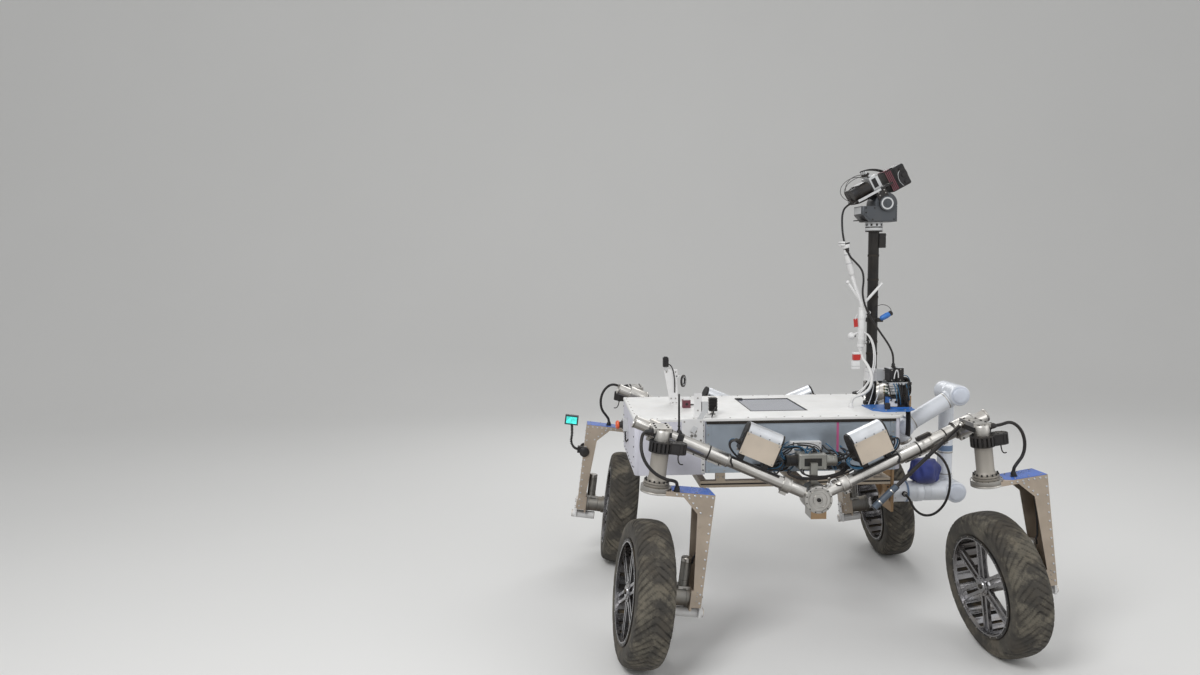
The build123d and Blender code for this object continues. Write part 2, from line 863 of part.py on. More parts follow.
def head_gland():
    """Where the lead leaves the tilting head."""
    slope = radians(head_slope_deg)
    along = head_plate_rear - head_gland_length - running_clearance
    up = head_plate_lift + head_plate_thickness / 2
    return (tilt_x + along * cos(slope) - up * sin(slope), 0, tilt_z + along * sin(slope) + up * cos(slope))


def make_arm_base():
    base = rod((arm_plate_x, 0, arm_z), (arm_base_end, 0, arm_z), arm_base_radius)
    base += rod((arm_plate_x, 0, arm_z), (arm_plate_x + arm_flange_thickness, 0, arm_z), arm_flange_radius)
    return base


def make_arm_hood():
    low = arm_z + arm_base_radius * 0.8
    hood = block(hood_length, hood_width, hood_height, (hood_x, 0, low + hood_height / 2))
    hood = fillet(hood.edges().filter_by(Axis.Y), hood_round)
    hood = hood - rod((arm_plate_x, 0, arm_z), (shoulder_x, 0, arm_z), arm_base_radius + running_clearance)
    return hood - rod((arm_base_end, 0, arm_z), (shoulder_x, 0, arm_z), arm_base_radius + hood_gap)


def make_shoulder():
    neck_start = (arm_base_end + running_clearance, 0, arm_z)
    shoulder = rod(neck_start, (shoulder_x, 0, arm_z), arm_base_radius - shoulder_step)
    shoulder += rod((shoulder_x, -shoulder_half, arm_z), (shoulder_x, shoulder_half, arm_z), shoulder_radius)
    cap_y = -shoulder_half - arm_cap_length
    shoulder += rod((shoulder_x, cap_y, arm_z), (shoulder_x, 0, arm_z), shoulder_radius - arm_cap_step)
    return shoulder


def make_upper_arm():
    y = upper_arm_y
    arm = rod((shoulder_x, y, arm_z), (elbow_x, y, elbow_z), upper_arm_radius)
    # joint housings: x, z, radius
    for x, z, radius in ((shoulder_x, arm_z, shoulder_radius), (elbow_x, elbow_z, elbow_radius)):
        inner = shoulder_half + running_clearance
        outer = y + upper_arm_half
        arm += rod((x, inner, z), (x, outer, z), radius)
        arm += rod((x, y, z), (x, outer + arm_cap_length, z), radius - arm_cap_step)
    return arm


def make_forearm():
    end = (forearm_end_x, 0, forearm_end_z)
    arm = rod((elbow_x, 0, elbow_z), end, forearm_radius)
    arm += rod((elbow_x, -shoulder_half, elbow_z), (elbow_x, shoulder_half, elbow_z), elbow_radius)
    cap_y = -shoulder_half - arm_cap_length
    arm += rod((elbow_x, cap_y, elbow_z), (elbow_x, 0, elbow_z), elbow_radius - arm_cap_step)
    arm += rod((end[0], -forearm_radius, end[2]), (end[0], forearm_radius, end[2]), forearm_end_radius)
    return arm


def wrist_place():
    """Where the wrist stands, square to the forearm."""
    return Pos(forearm_end_x, 0, forearm_end_z) * Rot(Y=-forearm_drop_deg)


def make_wrist():
    inner = forearm_radius + running_clearance
    wrist = rod((0, inner, 0), (0, wrist_y + wrist_half, 0), wrist_radius)
    wrist += rod((0, wrist_y, 0), (0, wrist_y, -wrist_drop), wrist_radius - wrist_step)
    return wrist_place() * wrist


def make_tool_flange():
    top = -wrist_drop - running_clearance
    flange = disc(flange_radius, top - flange_height, top, at=(0, wrist_y))
    for i in range(flange_holes):
        turn = radians(45.0 + 360.0 * i / flange_holes)
        at = (flange_pcd / 2 * cos(turn), wrist_y + flange_pcd / 2 * sin(turn))
        flange -= disc(flange_hole_radius, top - flange_height - 1, top - flange_floor, at=at)
    return wrist_place() * flange


def make_tail_post():
    x = tail_post_x
    y = tail_post_y
    top = lid_top + tail_post_height
    outline = make_face(
        Polyline(
            (x, y, lid_top),
            (x, y, top),
            (x - tail_post_top_width, y, top),
            (x - tail_post_foot_width, y, lid_top),
            close=True,
        )
    )
    post = extrude(outline, tail_post_sheet, dir=(0, -1, 0))
    foot_low = (x - tail_post_foot_width, y - tail_post_foot, lid_top)
    post += span_box(foot_low, (x, y, lid_top + tail_post_sheet))
    neck_y = y - tail_neck_width / 2
    neck_at = (tail_head_x, neck_y, top + tail_neck_height / 2)
    post += block(tail_neck_width, tail_neck_width, tail_neck_height, neck_at)
    head_at = (tail_head_x, neck_y, top + tail_neck_height + tail_head_height / 2)
    post += block(tail_head_width, tail_head_width, tail_head_height, head_at)
    # towing ring, turned half away from the post, and the lug that carries it
    ring_y = y - tail_post_sheet / 2
    ring = rod((0, -tail_ring_width / 2, 0), (0, tail_ring_width / 2, 0), tail_ring_radius)
    ring -= rod((0, -tail_ring_width, 0), (0, tail_ring_width, 0), tail_ring_bore)
    ring_z = lid_top + tail_ring_height
    ring = Pos(tail_ring_x, ring_y, ring_z) * Rot(Z=tail_ring_turn_deg) * ring
    lug_z = ring_z + (tail_ring_radius + tail_ring_bore) / 2
    lug_low = (x - tail_ring_width, ring_y - tail_post_sheet / 2, lug_z - tail_post_sheet / 2)
    lug_high = (tail_ring_x, ring_y + tail_post_sheet / 2, lug_z + tail_post_sheet / 2)
    return post + ring + span_box(lug_low, lug_high)


def make_deck_fittings():
    red_at = (red_block_x, red_block_y, lid_top + red_block_size / 2)
    red = block(red_block_size, red_block_size, red_block_size, red_at)
    box_base = lid_top + deck_box_lift
    box_at = (deck_box_x, deck_box_y, box_base + deck_box_height / 2)
    box = fillet(block(deck_box_width, deck_box_width, deck_box_height, box_at).edges(), fitting_round)
    box += disc(deck_pin_radius, lid_top, box_base + fitting_round, at=(deck_box_x, deck_box_y))
    return fillet(red.edges(), fitting_round) + box


def make_side_plate():
    inner = -cover_outer_y - lid_overhang
    rear_x = side_plate_x - side_plate_width / 2
    front_x = side_plate_x + side_plate_width / 2
    base = lid_top - side_plate_drop
    plate = span_box((rear_x, inner - side_plate_sheet, base), (front_x, inner, lid_top + side_plate_rise))
    return plate + span_box((rear_x, inner, base), (front_x, -cover_outer_y, base + side_plate_foot))


def make_stop_button():
    y = stop_button_y
    z = stop_button_z
    base_at = (cover_rear_x - stop_base_depth / 2, y, z)
    base = block(stop_base_depth, stop_base_size, stop_base_size, base_at)
    base = fillet(base.edges().filter_by(Axis.X), stop_base_round)
    neck_x = cover_rear_x - stop_base_depth
    cap_x = neck_x - stop_neck_length
    base += rod((neck_x, y, z), (cap_x, y, z), stop_neck_radius)
    cap = rod((cap_x, y, z), (cap_x - stop_cap_length, y, z), stop_button_radius)
    return base + fillet(cap.edges(), stop_cap_round)


def make_antenna():
    x, y, z = rocker_point(antenna_x, -1)
    antenna = disc(antenna_radius, z, z + antenna_height, at=(x, y))
    antenna += disc(antenna_base_radius, z, z + rocker_sleeve_radius + antenna_base_rise, at=(x, y))
    cut_start = rocker_point(antenna_x - 3 * antenna_base_radius, -1)
    cut_end = rocker_point(antenna_x + 3 * antenna_base_radius, -1)
    return antenna - rod(cut_start, cut_end, rocker_sleeve_radius)


def make_tube_box():
    x, y, z = rocker_point(tube_box_x, -1)
    base = z + rocker_sleeve_radius - tube_box_sink
    box = span_box(
        (x - tube_box_length / 2, y - tube_box_width / 2, base),
        (x + tube_box_length / 2, y + tube_box_width / 2, base + tube_box_height),
    )
    along = Vector(rocker_end_x, 0, rocker_end_z - pivot_z)
    slope_deg = along.get_angle(Vector(1, 0, 0))
    box = Pos(x, y, z) * Rot(Y=-slope_deg) * Pos(-x, -y, -z) * box
    cut_start = rocker_point(tube_box_x - tube_box_length, -1)
    cut_end = rocker_point(tube_box_x + tube_box_length, -1)
    return box - rod(cut_start, cut_end, rocker_sleeve_radius)


def make_stack_carrier():
    plate = span_box(
        (carrier_rear, carrier_right, lid_top), (carrier_front, carrier_left, lid_top + carrier_thickness)
    )
    return chamfer(plate.edges().filter_by(Axis.Z).sort_by(Axis.Y)[:2], carrier_chamfer)


# layers of the electronics, bottom first: inset from the rear, length, width, height
STACK_LAYERS = [
    (0.0, power_unit_length, power_unit_width, power_unit_height),
    (board_stack_inset, board_stack_length, board_stack_width, board_stack_height),
    (-stack_tray_overhang, stack_tray_length, stack_tray_width, stack_tray_height),
    (radio_inset, radio_length, radio_width, radio_height),
]


def make_stack():
    base = lid_top + carrier_thickness
    stack = Part()
    for inset, length, width, height in STACK_LAYERS:
        low = (stack_rear + inset, stack_left - width, base)
        stack += span_box(low, (stack_rear + inset + length, stack_left, base + height))
        base += height
    return stack


def stack_top():
    return lid_top + carrier_thickness + sum(layer[3] for layer in STACK_LAYERS)


def make_mast_box():
    base = lid_top + mast_box_lift
    top = base + mast_box_height
    box = span_box((mast_box_rear, -mast_box_width, base), (mast_box_front, 0, top))
    box = fillet(box.edges().filter_by(Axis.Z), mast_box_round)
    return box - disc(mast_radius, base - 1, top + 1, at=(mast_x, 0))


# the boom's line, tip first: x, z
BOOM_LINE = [
    (boom_tip_x, boom_tip_z),
    (boom_bend_x, boom_bend_z),
    (boom_sleeve_top_x, boom_sleeve_top_z),
    (boom_sleeve_end_x, boom_sleeve_end_z),
]


def make_boom():
    boom = Part()
    for (x0, z0), (x1, z1) in zip(BOOM_LINE[:-2], BOOM_LINE[1:-1]):
        boom += rod((x0, boom_y, z0), (x1, boom_y, z1), boom_radius)
    tip = Vector(boom_tip_x, boom_y - boom_tip_offset, boom_tip_z)
    way = Vector(boom_bend_x - boom_tip_x, 0, boom_bend_z - boom_tip_z).normalized()
    boom += rod(tip, tip + way * boom_tip_length, boom_tip_radius)
    sleeve_top = (boom_sleeve_top_x, boom_y, boom_sleeve_top_z)
    sleeve_end = (boom_sleeve_end_x, boom_y, boom_sleeve_end_z)
    boom += rod(sleeve_top, sleeve_end, boom_sleeve_radius)
    twig_foot = (boom_sleeve_top_x, boom_y, boom_sleeve_top_z + boom_twig_lift)
    for x, z in ((boom_twig_rear_x, boom_twig_rear_z), (boom_twig_front_x, boom_twig_front_z)):
        boom += rod((x, boom_y, z), twig_foot, boom_twig_radius)
    for z in (boom_tie_upper_z, boom_tie_lower_z):
        boom += rod((mast_x, 0, z), (mast_x - boom_tie_reach, boom_y, z), boom_tie_radius)
    return boom - disc(mast_radius, boom_sleeve_end_z, boom_tip_z, at=(mast_x, 0))


def make_conduit():
    face_x = drive_axis_x() - drive_block_width / 2
    start = Vector(face_x, conduit_y, drive_block_z())
    end = Vector(conduit_end_x, conduit_y, conduit_end_z)
    way = (end - start).normalized()
    conduit = rod(start - way * conduit_seat, end, conduit_radius)
    cut_size = 4 * conduit_seat
    cut_at = (face_x + cut_size / 2, conduit_y, start.Z)
    conduit -= block(cut_size, cut_size, cut_size, cut_at)
    conduit += rod(end - way * conduit_sleeve_length, end, conduit_sleeve_radius)
    return conduit


def lead(points, diameter):
    """Round lead along straight runs joined by arcs that are as large as the runs allow."""
    points = [Vector(*point) for point in points]
    radii = []
    for before, corner, after in zip(points, points[1:], points[2:]):
        turn = radians((corner - before).get_angle(after - corner))
        shorter = min((corner - before).length, (after - corner).length)
        radii.append(0.45 * shorter / tan(turn / 2))
    path = FilletPolyline(*points, radius=radii)
    section = Plane(origin=path @ 0, z_dir=path % 0) * Circle(diameter / 2)
    tube = sweep(section, path)
    print(f"lead length {path.length:.0f} smallest radius {min(radii):.0f} volume {tube.volume:.0f}")
    print(f"section times length {3.14159265 * diameter ** 2 / 4 * path.length:.0f}")
    return tube


# service loops of the steering drives in the frame of their corner: along the leg, across it, up the axis
LOOP_OVER = [
    (122, 0, 652),
    (160, 0, 614),
    (172, 0, 560),
    (160, 0, 508),
    (128, 0, 476),
    (112, 0, 456),
    (112, 0, 427),
]
LOOP_ROUND = [
    (-82, -24, 628),
    (-84, -50, 584),
    (-66, -72, 538),
    (-26, -84, 500),
    (24, -82, 480),
    (60, -58, 474),
    (78, -34, 458),
    (78, -34, 427),
]


def make_steer_loop(fore, left, leg):
    face_x = fore * (drive_axis_x() + drive_block_width / 2)
    start = Vector(face_x, left * wheel_y, drive_block_z() + 6.0)
    points = LOOP_OVER if fore * leg > 0 else LOOP_ROUND
    plane = corner_plane(fore, left, leg, 0)
    route = [start, start + Vector(fore * 34.0, 0, 0)]
    route += [plane.from_local_coords(Vector(*point)) for point in points]
    return lead(route, steer_lead_diameter)


def make_spy_camera():
    camera = block(spy_width, spy_depth, spy_tall, (spy_reach, 0, spy_height))
    camera = fillet(camera.edges(), spy_round)
    clamp_x = leg_reach + spy_clamp_size / 2
    camera += block(spy_clamp_size, spy_clamp_size, spy_clamp_size, (clamp_x, 0, spy_clamp_height))
    neck_start = leg_reach + spy_clamp_size - spy_seat
    neck = [
        (neck_start, 0, spy_clamp_height),
        (neck_start + 24.0, 0, spy_clamp_height + 6.0),
        (neck_start + 36.0, 0, spy_clamp_height + 36.0),
        (spy_reach - 14.0, 0, spy_clamp_height + 80.0),
        (spy_reach - 4.0, 0, spy_height - spy_tall / 2 + spy_seat),
    ]
    return camera + lead(neck, spy_neck_diameter)


# leads held by the mast, boom and deck: x, y, z
MAST_LEAD_TOP = [
    (275.8, 0, 1831.8),
    (260, -12, 1798),
    (254, -30, 1750),
    (254, -45, 1699.6),
    (261.9, -45, 1668.6),
]
MAST_LEAD_LOW = [
    (268.1, -60, 1644.0),
    (276.4, -60, 1611.6),
    (308, -66, 1580),
    (338, -70, 1545),
    (344, -74, 1500),
    (336, -76, 1446),
    (348, -76, 1388),
    (378, -74, 1328),
    (424, -74, 1262),
    (460, -80, 1210),
    (478, -86, 1170),
    (482, -86, 1138),
]
BOOM_HOSE = [
    (344.0, -45, 1195.4),
    (342.6, -45, 1156),
    (370, -74, 1112),
    (384, -96, 1060),
    (374, -98, 1010),
    (340, -92, 982),
    (290, -84, 968),
    (290, -84, 924),
]
ARM_LEAD = [
    (441, -212, 742),
    (486, -212, 742),
    (540, -214, 762),
    (600, -212, 755),
    (664, -206, 716),
    (704, -198, 650),
    (714, -190, 570),
    (698, -180, 494),
    (658, -166, 442),
    (612, -150, 430),
    (576, -126, 456),
    (562, -96, 507),
    (562, -48.4, 507),
]


os.makedirs("parts", exist_ok=True)
save("battery_pack", make_battery())
save("body_tub", make_body())
save("deck_lid", make_lid())
save("deck_window", make_window())
save("side_panels", make_side_panels())
save("rear_cover", make_rear_cover())
save("underframe", make_underframe())
save("arm_bracket", make_arm_bracket())
save("motor_controllers", make_controllers())
save("junction_boxes", make_junctions() + make_side_box())
save("mast", make_mast())
save("mast_pan_unit", make_pan_unit())
save("camera_head", make_camera_head())
save("arm_base", make_arm_base() + make_arm_hood())
save("arm_shoulder", make_shoulder())
save("arm_upper", make_upper_arm())
save("arm_forearm", make_forearm())
save("arm_wrist", make_wrist())
save("arm_tool_flange", make_tool_flange())
save("deck_fittings", make_tail_post() + make_deck_fittings() + make_side_plate())
save("stop_button", make_stop_button())
save("tube_fittings", make_antenna() + make_tube_box())
save("stack_carrier", make_stack_carrier())
save("electronics_stack", make_stack() + make_mast_box())
save("cable_boom", make_boom())
save("conduit", make_conduit())
save("mast_lead_top", lead([head_gland()] + MAST_LEAD_TOP, mast_lead_diameter))
mast_lead_low = lead(MAST_LEAD_LOW + [(482.0, -86.0, stack_top())], mast_lead_diameter)
save("mast_leads", mast_lead_low + lead(BOOM_HOSE, boom_hose_diameter))
save("arm_lead", lead(ARM_LEAD, arm_lead_diameter))
for side_name, left in (("right", -1), ("left", 1)):
    save(f"rocker_{side_name}", make_rocker(left))
tyre = make_tyre()
rim = make_rim()
leg = make_leg()
wheel_drive = make_wheel_drive()
guard = make_guard()
for name, fore, left, leg_side, steer_deg in CORNERS:
    place = corner_plane(fore, left, leg_side, steer_deg).location
    save(f"tyre_{name}", place * tyre)
    save(f"rim_{name}", place * rim)
    save(f"leg_{name}", place * (leg + guard))
    save(f"wheel_drive_{name}", place * wheel_drive)
    save(f"steer_drive_{name}", make_steer_drive(fore, left, leg_side))
    save(f"steer_loop_{name}", make_steer_loop(fore, left, leg_side))
    if (fore, left) == (-1, 1):
        save("action_camera", place * make_spy_camera())
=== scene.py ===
import json
import random
from itertools import product
from math import copysign, cos, pi, radians, sin, tau

import bmesh
import bpy
from bpy.props import FloatProperty, FloatVectorProperty, IntProperty, PointerProperty
from mathutils import Matrix, Vector, noise


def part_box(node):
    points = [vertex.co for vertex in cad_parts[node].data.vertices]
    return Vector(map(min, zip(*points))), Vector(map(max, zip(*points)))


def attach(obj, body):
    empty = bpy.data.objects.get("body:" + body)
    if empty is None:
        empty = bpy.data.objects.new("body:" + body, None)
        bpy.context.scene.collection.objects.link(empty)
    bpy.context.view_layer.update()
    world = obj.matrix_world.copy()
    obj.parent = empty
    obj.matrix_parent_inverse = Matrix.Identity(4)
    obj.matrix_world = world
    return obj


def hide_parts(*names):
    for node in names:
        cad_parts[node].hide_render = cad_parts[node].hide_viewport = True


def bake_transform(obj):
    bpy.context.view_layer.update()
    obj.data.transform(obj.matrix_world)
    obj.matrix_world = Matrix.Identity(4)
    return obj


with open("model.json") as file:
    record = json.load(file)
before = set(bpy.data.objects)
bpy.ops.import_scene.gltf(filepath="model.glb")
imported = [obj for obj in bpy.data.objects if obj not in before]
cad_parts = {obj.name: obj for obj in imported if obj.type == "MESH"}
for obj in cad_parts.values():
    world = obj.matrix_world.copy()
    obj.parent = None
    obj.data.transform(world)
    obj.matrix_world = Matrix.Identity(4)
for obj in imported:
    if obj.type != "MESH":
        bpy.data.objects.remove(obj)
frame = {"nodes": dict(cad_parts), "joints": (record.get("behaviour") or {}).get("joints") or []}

bl_info = {
    "name": "Planetary test rover",
    "version": (1, 0, 0),
    "blender": (4, 5, 0),
    "location": "View3D > Sidebar > Rover",
    "description": "Dresses the packed rover with its tyres, legs, boxes, mast, arm and leads",
    "category": "Add Mesh",
}

NODES = frame["nodes"]
JOINTS = {joint["name"]: joint for joint in frame["joints"]}
CORNERS = ("rear_right", "front_right", "rear_left", "front_left")
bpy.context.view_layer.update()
X, Y, Z = Vector((1, 0, 0)), Vector((0, 1, 0)), Vector((0, 0, 1))
SIDES = (-1, 1)

DECK_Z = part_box("deck_lid")[1].z
PANEL_LOW, PANEL_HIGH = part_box("side_panels")
COVER_LOW, COVER_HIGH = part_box("rear_cover")
MAST_X = JOINTS["mast_pan"]["pos_m"][0]
MAST_TOP = JOINTS["mast_pan"]["pos_m"][2]
TILT = Vector(JOINTS["mast_tilt"]["pos_m"])
SHOULDER = Vector(JOINTS["arm_lift"]["pos_m"])
ELBOW = Vector(JOINTS["arm_elbow"]["pos_m"])
WRIST = Vector(JOINTS["wrist_pitch"]["pos_m"])


class RoverSizes(bpy.types.PropertyGroup):
    tread_depth: FloatProperty(
        name="Tread depth", description="Depth of the grooves in the tyres", default=.0055, min=0, unit="LENGTH"
    )
    tread_grooves: IntProperty(
        name="Tread grooves", description="Slanted grooves round each tyre on each side", default=60, min=12
    )
    rim_slots: IntProperty(name="Rim slots", description="Slots round each drum rim", default=24, min=6)
    spoke_pairs: IntProperty(name="Spoke pairs", description="Pairs of thin spokes in each rim", default=6, min=3)
    bolt_radius: FloatProperty(
        name="Bolt radius", description="Radius of the small bolt heads", default=.0036, min=0, unit="LENGTH"
    )
    edge_round: FloatProperty(
        name="Edge rounding", description="Width of the rounding on machined edges", default=.0012, unit="LENGTH"
    )
    harness_leads: IntProperty(
        name="Harness leads", description="Thin leads round each junction box", default=26, min=1
    )
    lens_mm: FloatProperty(name="Lens", description="Focal length on a 36 mm sensor", default=26.37, unit="CAMERA")


class RoverColours(bpy.types.PropertyGroup):
    tyre: FloatVectorProperty(
        name="Tyre", description="Rubber", default=(.045, .041, .035), subtype="COLOR", min=0, max=1
    )
    mud: FloatVectorProperty(
        name="Dried mud", description="Mud in the tread", default=(.15, .135, .105), subtype="COLOR", min=0, max=1
    )
    dust: FloatVectorProperty(
        name="Dust", description="Dust on upper faces", default=(.46, .35, .21), subtype="COLOR", min=0, max=1
    )
    sheet_metal: FloatVectorProperty(
        name="Sheet metal", description="Legs", default=(.46, .39, .32), subtype="COLOR", min=0, max=1
    )
    bright_metal: FloatVectorProperty(
        name="Bright metal", description="Tubes and rims", default=(.5, .49, .47), subtype="COLOR", min=0, max=1
    )
    film: FloatVectorProperty(
        name="Blue film", description="Film on the leg tops", default=(.05, .16, .62), subtype="COLOR", min=0, max=1
    )
    panel: FloatVectorProperty(
        name="Side panel", description="Side panels", default=(.4, .46, .53), subtype="COLOR", min=0, max=1
    )
    paint: FloatVectorProperty(
        name="White paint", description="Body paint", default=(.82, .82, .81), subtype="COLOR", min=0, max=1
    )
    arm: FloatVectorProperty(
        name="Arm", description="Shell of the robot arm", default=(.68, .71, .76), subtype="COLOR", min=0, max=1
    )
    hood: FloatVectorProperty(
        name="Hood", description="Cover over the arm's base", default=(.02, .035, .19), subtype="COLOR", min=0, max=1
    )


def mm(*values):
    """Pairs of numbers in metres from a row of millimetres: a turned profile, an outline or places."""
    return [(a / 1000, b / 1000) for a, b in zip(values[::2], values[1::2])]


def band(inner, outer, width):
    """Profile of a plain band, in millimetres."""
    return mm(0, inner, 0, outer, width, outer, width, inner)


def new_group(name, inputs, outputs):
    """Empty shader node group with its sockets; columns: name, kind, default."""
    group = bpy.data.node_groups.new(name, "ShaderNodeTree")
    for label, kind, value in inputs:
        socket = group.interface.new_socket(name=label, in_out="INPUT", socket_type=kind)
        socket.default_value = value
    for label, kind in outputs:
        group.interface.new_socket(name=label, in_out="OUTPUT", socket_type=kind)
    return group, group.nodes.new("NodeGroupInput"), group.nodes.new("NodeGroupOutput")


def new_node(tree, kind, values=(), **settings):
    """Shader node of a kind with its settings. The values, by socket, are linked in or set."""
    node = tree.nodes.new("ShaderNode" + kind)
    for name, setting in settings.items():
        setattr(node, name, setting)
    for key, value in dict(values).items():
        if isinstance(value, bpy.types.NodeSocket):
            tree.links.new(value, node.inputs[key])
        else:
            node.inputs[key].default_value = value
    return node


def math_node(tree, operation, a, b, clamp=False):
    return new_node(tree, "Math", {0: a, 1: b}, operation=operation, use_clamp=clamp).outputs[0]


def map_range(tree, value, low, high, to_low=0, to_high=1.0):
    values = enumerate((value, low, high, to_low, to_high))
    return new_node(tree, "MapRange", values, interpolation_type="SMOOTHSTEP").outputs[0]


def mix_colour(tree, factor, a, b):
    return new_node(tree, "Mix", {0: factor, 6: a, 7: b}, data_type="RGBA").outputs[2]


def mix_value(tree, factor, a, b):
    return new_node(tree, "Mix", {0: factor, 2: a, 3: b}, data_type="FLOAT").outputs[0]


def noise_node(tree, vector, scale, detail=4.0, roughness=.55):
    values = {"Vector": vector, "Scale": scale, "Detail": detail, "Roughness": roughness}
    return new_node(tree, "TexNoise", values).outputs["Fac"]


def cell_edges(tree, vector, scale):
    """Distance to the nearest edge between cells, for cracks and scratches."""
    values = {"Vector": vector, "Scale": scale}
    return new_node(tree, "TexVoronoi", values, feature="DISTANCE_TO_EDGE").outputs["Distance"]


def make_grain_group():
    """Fine surface grain: a height for bump and a slow variation for colour and gloss."""
    group, given, out = new_group(
        "surface_grain",
        [("Vector", "NodeSocketVector", (0, 0, 0)), ("Stretch", "NodeSocketVector", (1, 1, 1)), ("Scale",
         "NodeSocketFloat", 900.0), ("Blotch", "NodeSocketFloat", 9.0)],
        [("Height", "NodeSocketFloat"), ("Variation", "NodeSocketFloat")],
    )
    vector = given.outputs["Vector"]
    stretch = new_node(group, "VectorMath", {0: vector, 1: given.outputs["Stretch"]}, operation="MULTIPLY")
    fine = noise_node(group, stretch.outputs[0], given.outputs["Scale"], 3.0)
    slow = noise_node(group, vector, given.outputs["Blotch"], 6.0, .6)
    group.links.new(fine, out.inputs["Height"])
    group.links.new(slow, out.inputs["Variation"])
    return group


def make_dust_and_shade_group():
    """Dust that lies on upper faces and low down, laid over a colour that is first darkened on faces that look down, as
    painted shade.
    """
    group, given, out = new_group(
        "dust_and_underside_shade",
        [("Vector", "NodeSocketVector", (0, 0, 0)), ("Color", "NodeSocketColor", (.5, .5, .5, 1)), ("Dust",
         "NodeSocketColor", (.5, .4, .25, 1)), ("Amount", "NodeSocketFloat", .4), ("Low Height", "NodeSocketFloat",
         .75), ("Underside", "NodeSocketFloat", 0)], [("Color", "NodeSocketColor"), ("Mask", "NodeSocketFloat")],
    )
    facing = new_node(group, "SeparateXYZ", {0: new_node(group, "NewGeometry").outputs["Normal"]}).outputs["Z"]
    height = new_node(group, "SeparateXYZ", {0: given.outputs["Vector"]}).outputs["Z"]
    upward = map_range(group, facing, .15, .95, .25, 1.0)
    lowness = map_range(group, height, 0, given.outputs["Low Height"], 1.0, .3)
    patches = noise_node(group, given.outputs["Vector"], 14.0, 8.0, .68)
    patches = map_range(group, patches, .4, .72)
    mask = math_node(group, "MULTIPLY", upward, patches)
    mask = math_node(group, "MULTIPLY", mask, lowness)
    mask = math_node(group, "MULTIPLY", mask, given.outputs["Amount"], clamp=True)
    # painted shade: faces that look down are darkened towards a warm dark brown, more the further they turn down
    downward = map_range(group, facing, .35, -.85)
    shaded = math_node(group, "MULTIPLY", downward, given.outputs["Underside"])
    with_painted_shade = mix_colour(group, shaded, given.outputs["Color"], (.075, .056, .04, 1))
    colour = mix_colour(group, mask, with_painted_shade, given.outputs["Dust"])
    group.links.new(colour, out.inputs["Color"])
    group.links.new(mask, out.inputs["Mask"])
    return group


def make_scratch_group():
    """Thin random scratches and scuffs as a mask."""
    group, given, out = new_group(
        "scuff_marks", [("Vector", "NodeSocketVector", (0, 0, 0)), ("Scale", "NodeSocketFloat", 30.0)],
        [("Mask", "NodeSocketFloat")],
    )
    vector = given.outputs["Vector"]
    warp = new_node(group, "VectorMath", {0: vector, 1: noise_node(group, vector, 6.0, 2.0)}, operation="ADD")
    lines = map_range(group, cell_edges(group, warp.outputs[0], given.outputs["Scale"]), 0, .025, 1.0, 0)
    worn = map_range(group, noise_node(group, vector, 17.0, 5.0), .52, .66)
    group.links.new(math_node(group, "MULTIPLY", lines, worn), out.inputs["Mask"])
    return group


class Finish:
    """One surface finish: a Principled shader fed by the shared groups."""

    groups = {}
    made = None

    def __init__(self, name, colour, metallic=0, roughness=.5):
        self.material = bpy.data.materials.new(name)
        self.material.use_nodes = True
        self.tree = self.material.node_tree
        self.shader = self.tree.nodes["Principled BSDF"]
        self.shader.inputs["Metallic"].default_value = metallic
        self.shader.inputs["Roughness"].default_value = roughness
        self.shader.inputs["Base Color"].default_value = (*colour, 1)
        self.material.diffuse_color = (*colour, 1)
        self.colour = (*colour, 1)
        self.roughness = roughness
        self.vector = self.tree.nodes.new("ShaderNodeTexCoord").outputs["Object"]

    def group(self, kind, **values):
        values = {label.replace("_", " "): value for label, value in values.items()}
        return new_node(self.tree, "Group", {"Vector": self.vector, **values}, node_tree=self.groups[kind])

    def cover(self, colour):
        """Lays a new colour over the whole finish."""
        self.base = colour
        self.tree.links.new(colour, self.shader.inputs["Base Color"])
        return self

    def grain(self, scale, bump, stretch=(1, 1, 1), blotch=9.0, shade=.12, gloss=.12):
        """Fine grain as bump, with a slow change of shade and gloss."""
        node = self.group("grain", Scale=scale, Stretch=stretch, Blotch=blotch)
        values = {"Strength": 1.0, "Distance": bump, "Height": node.outputs["Height"]}
        self.tree.links.new(new_node(self.tree, "Bump", values).outputs["Normal"], self.shader.inputs["Normal"])
        dark = tuple(channel * (1 - shade) for channel in self.colour[:3]) + (1,)
        light = tuple(min(1.0, channel * (1 + shade)) for channel in self.colour[:3]) + (1,)
        variation = node.outputs["Variation"]
        gloss_range = self.roughness - gloss * .5, min(1.0, self.roughness + gloss)
        self.rough = map_range(self.tree, variation, .3, .7, *gloss_range)
        self.tree.links.new(self.rough, self.shader.inputs["Roughness"])
        return self.cover(mix_colour(self.tree, map_range(self.tree, variation, .3, .7), dark, light))

    def scuffs(self, scale, colour, strength=.5):
        node = self.group("scuffs", Scale=scale)
        mask = math_node(self.tree, "MULTIPLY", node.outputs["Mask"], strength)
        return self.cover(mix_colour(self.tree, mask, self.base, (*colour, 1)))

    def dust(self, dust_colour, amount, low_height=.75, underside_shade=0):
        # besides the dust, this paints shade on faces that look down; the last argument sets how much
        node = self.group(
            "dust", Color=self.base, Dust=(*dust_colour, 1), Amount=amount, Low_Height=low_height, Underside=underside_shade,
        )
        rough = mix_value(self.tree, node.outputs["Mask"], self.rough, .95)
        self.tree.links.new(rough, self.shader.inputs["Roughness"])
        return self.cover(node.outputs["Color"])

    def coat(self, weight, roughness=.1):
        self.shader.inputs["Coat Weight"].default_value = weight
        self.shader.inputs["Coat Roughness"].default_value = roughness
        return self


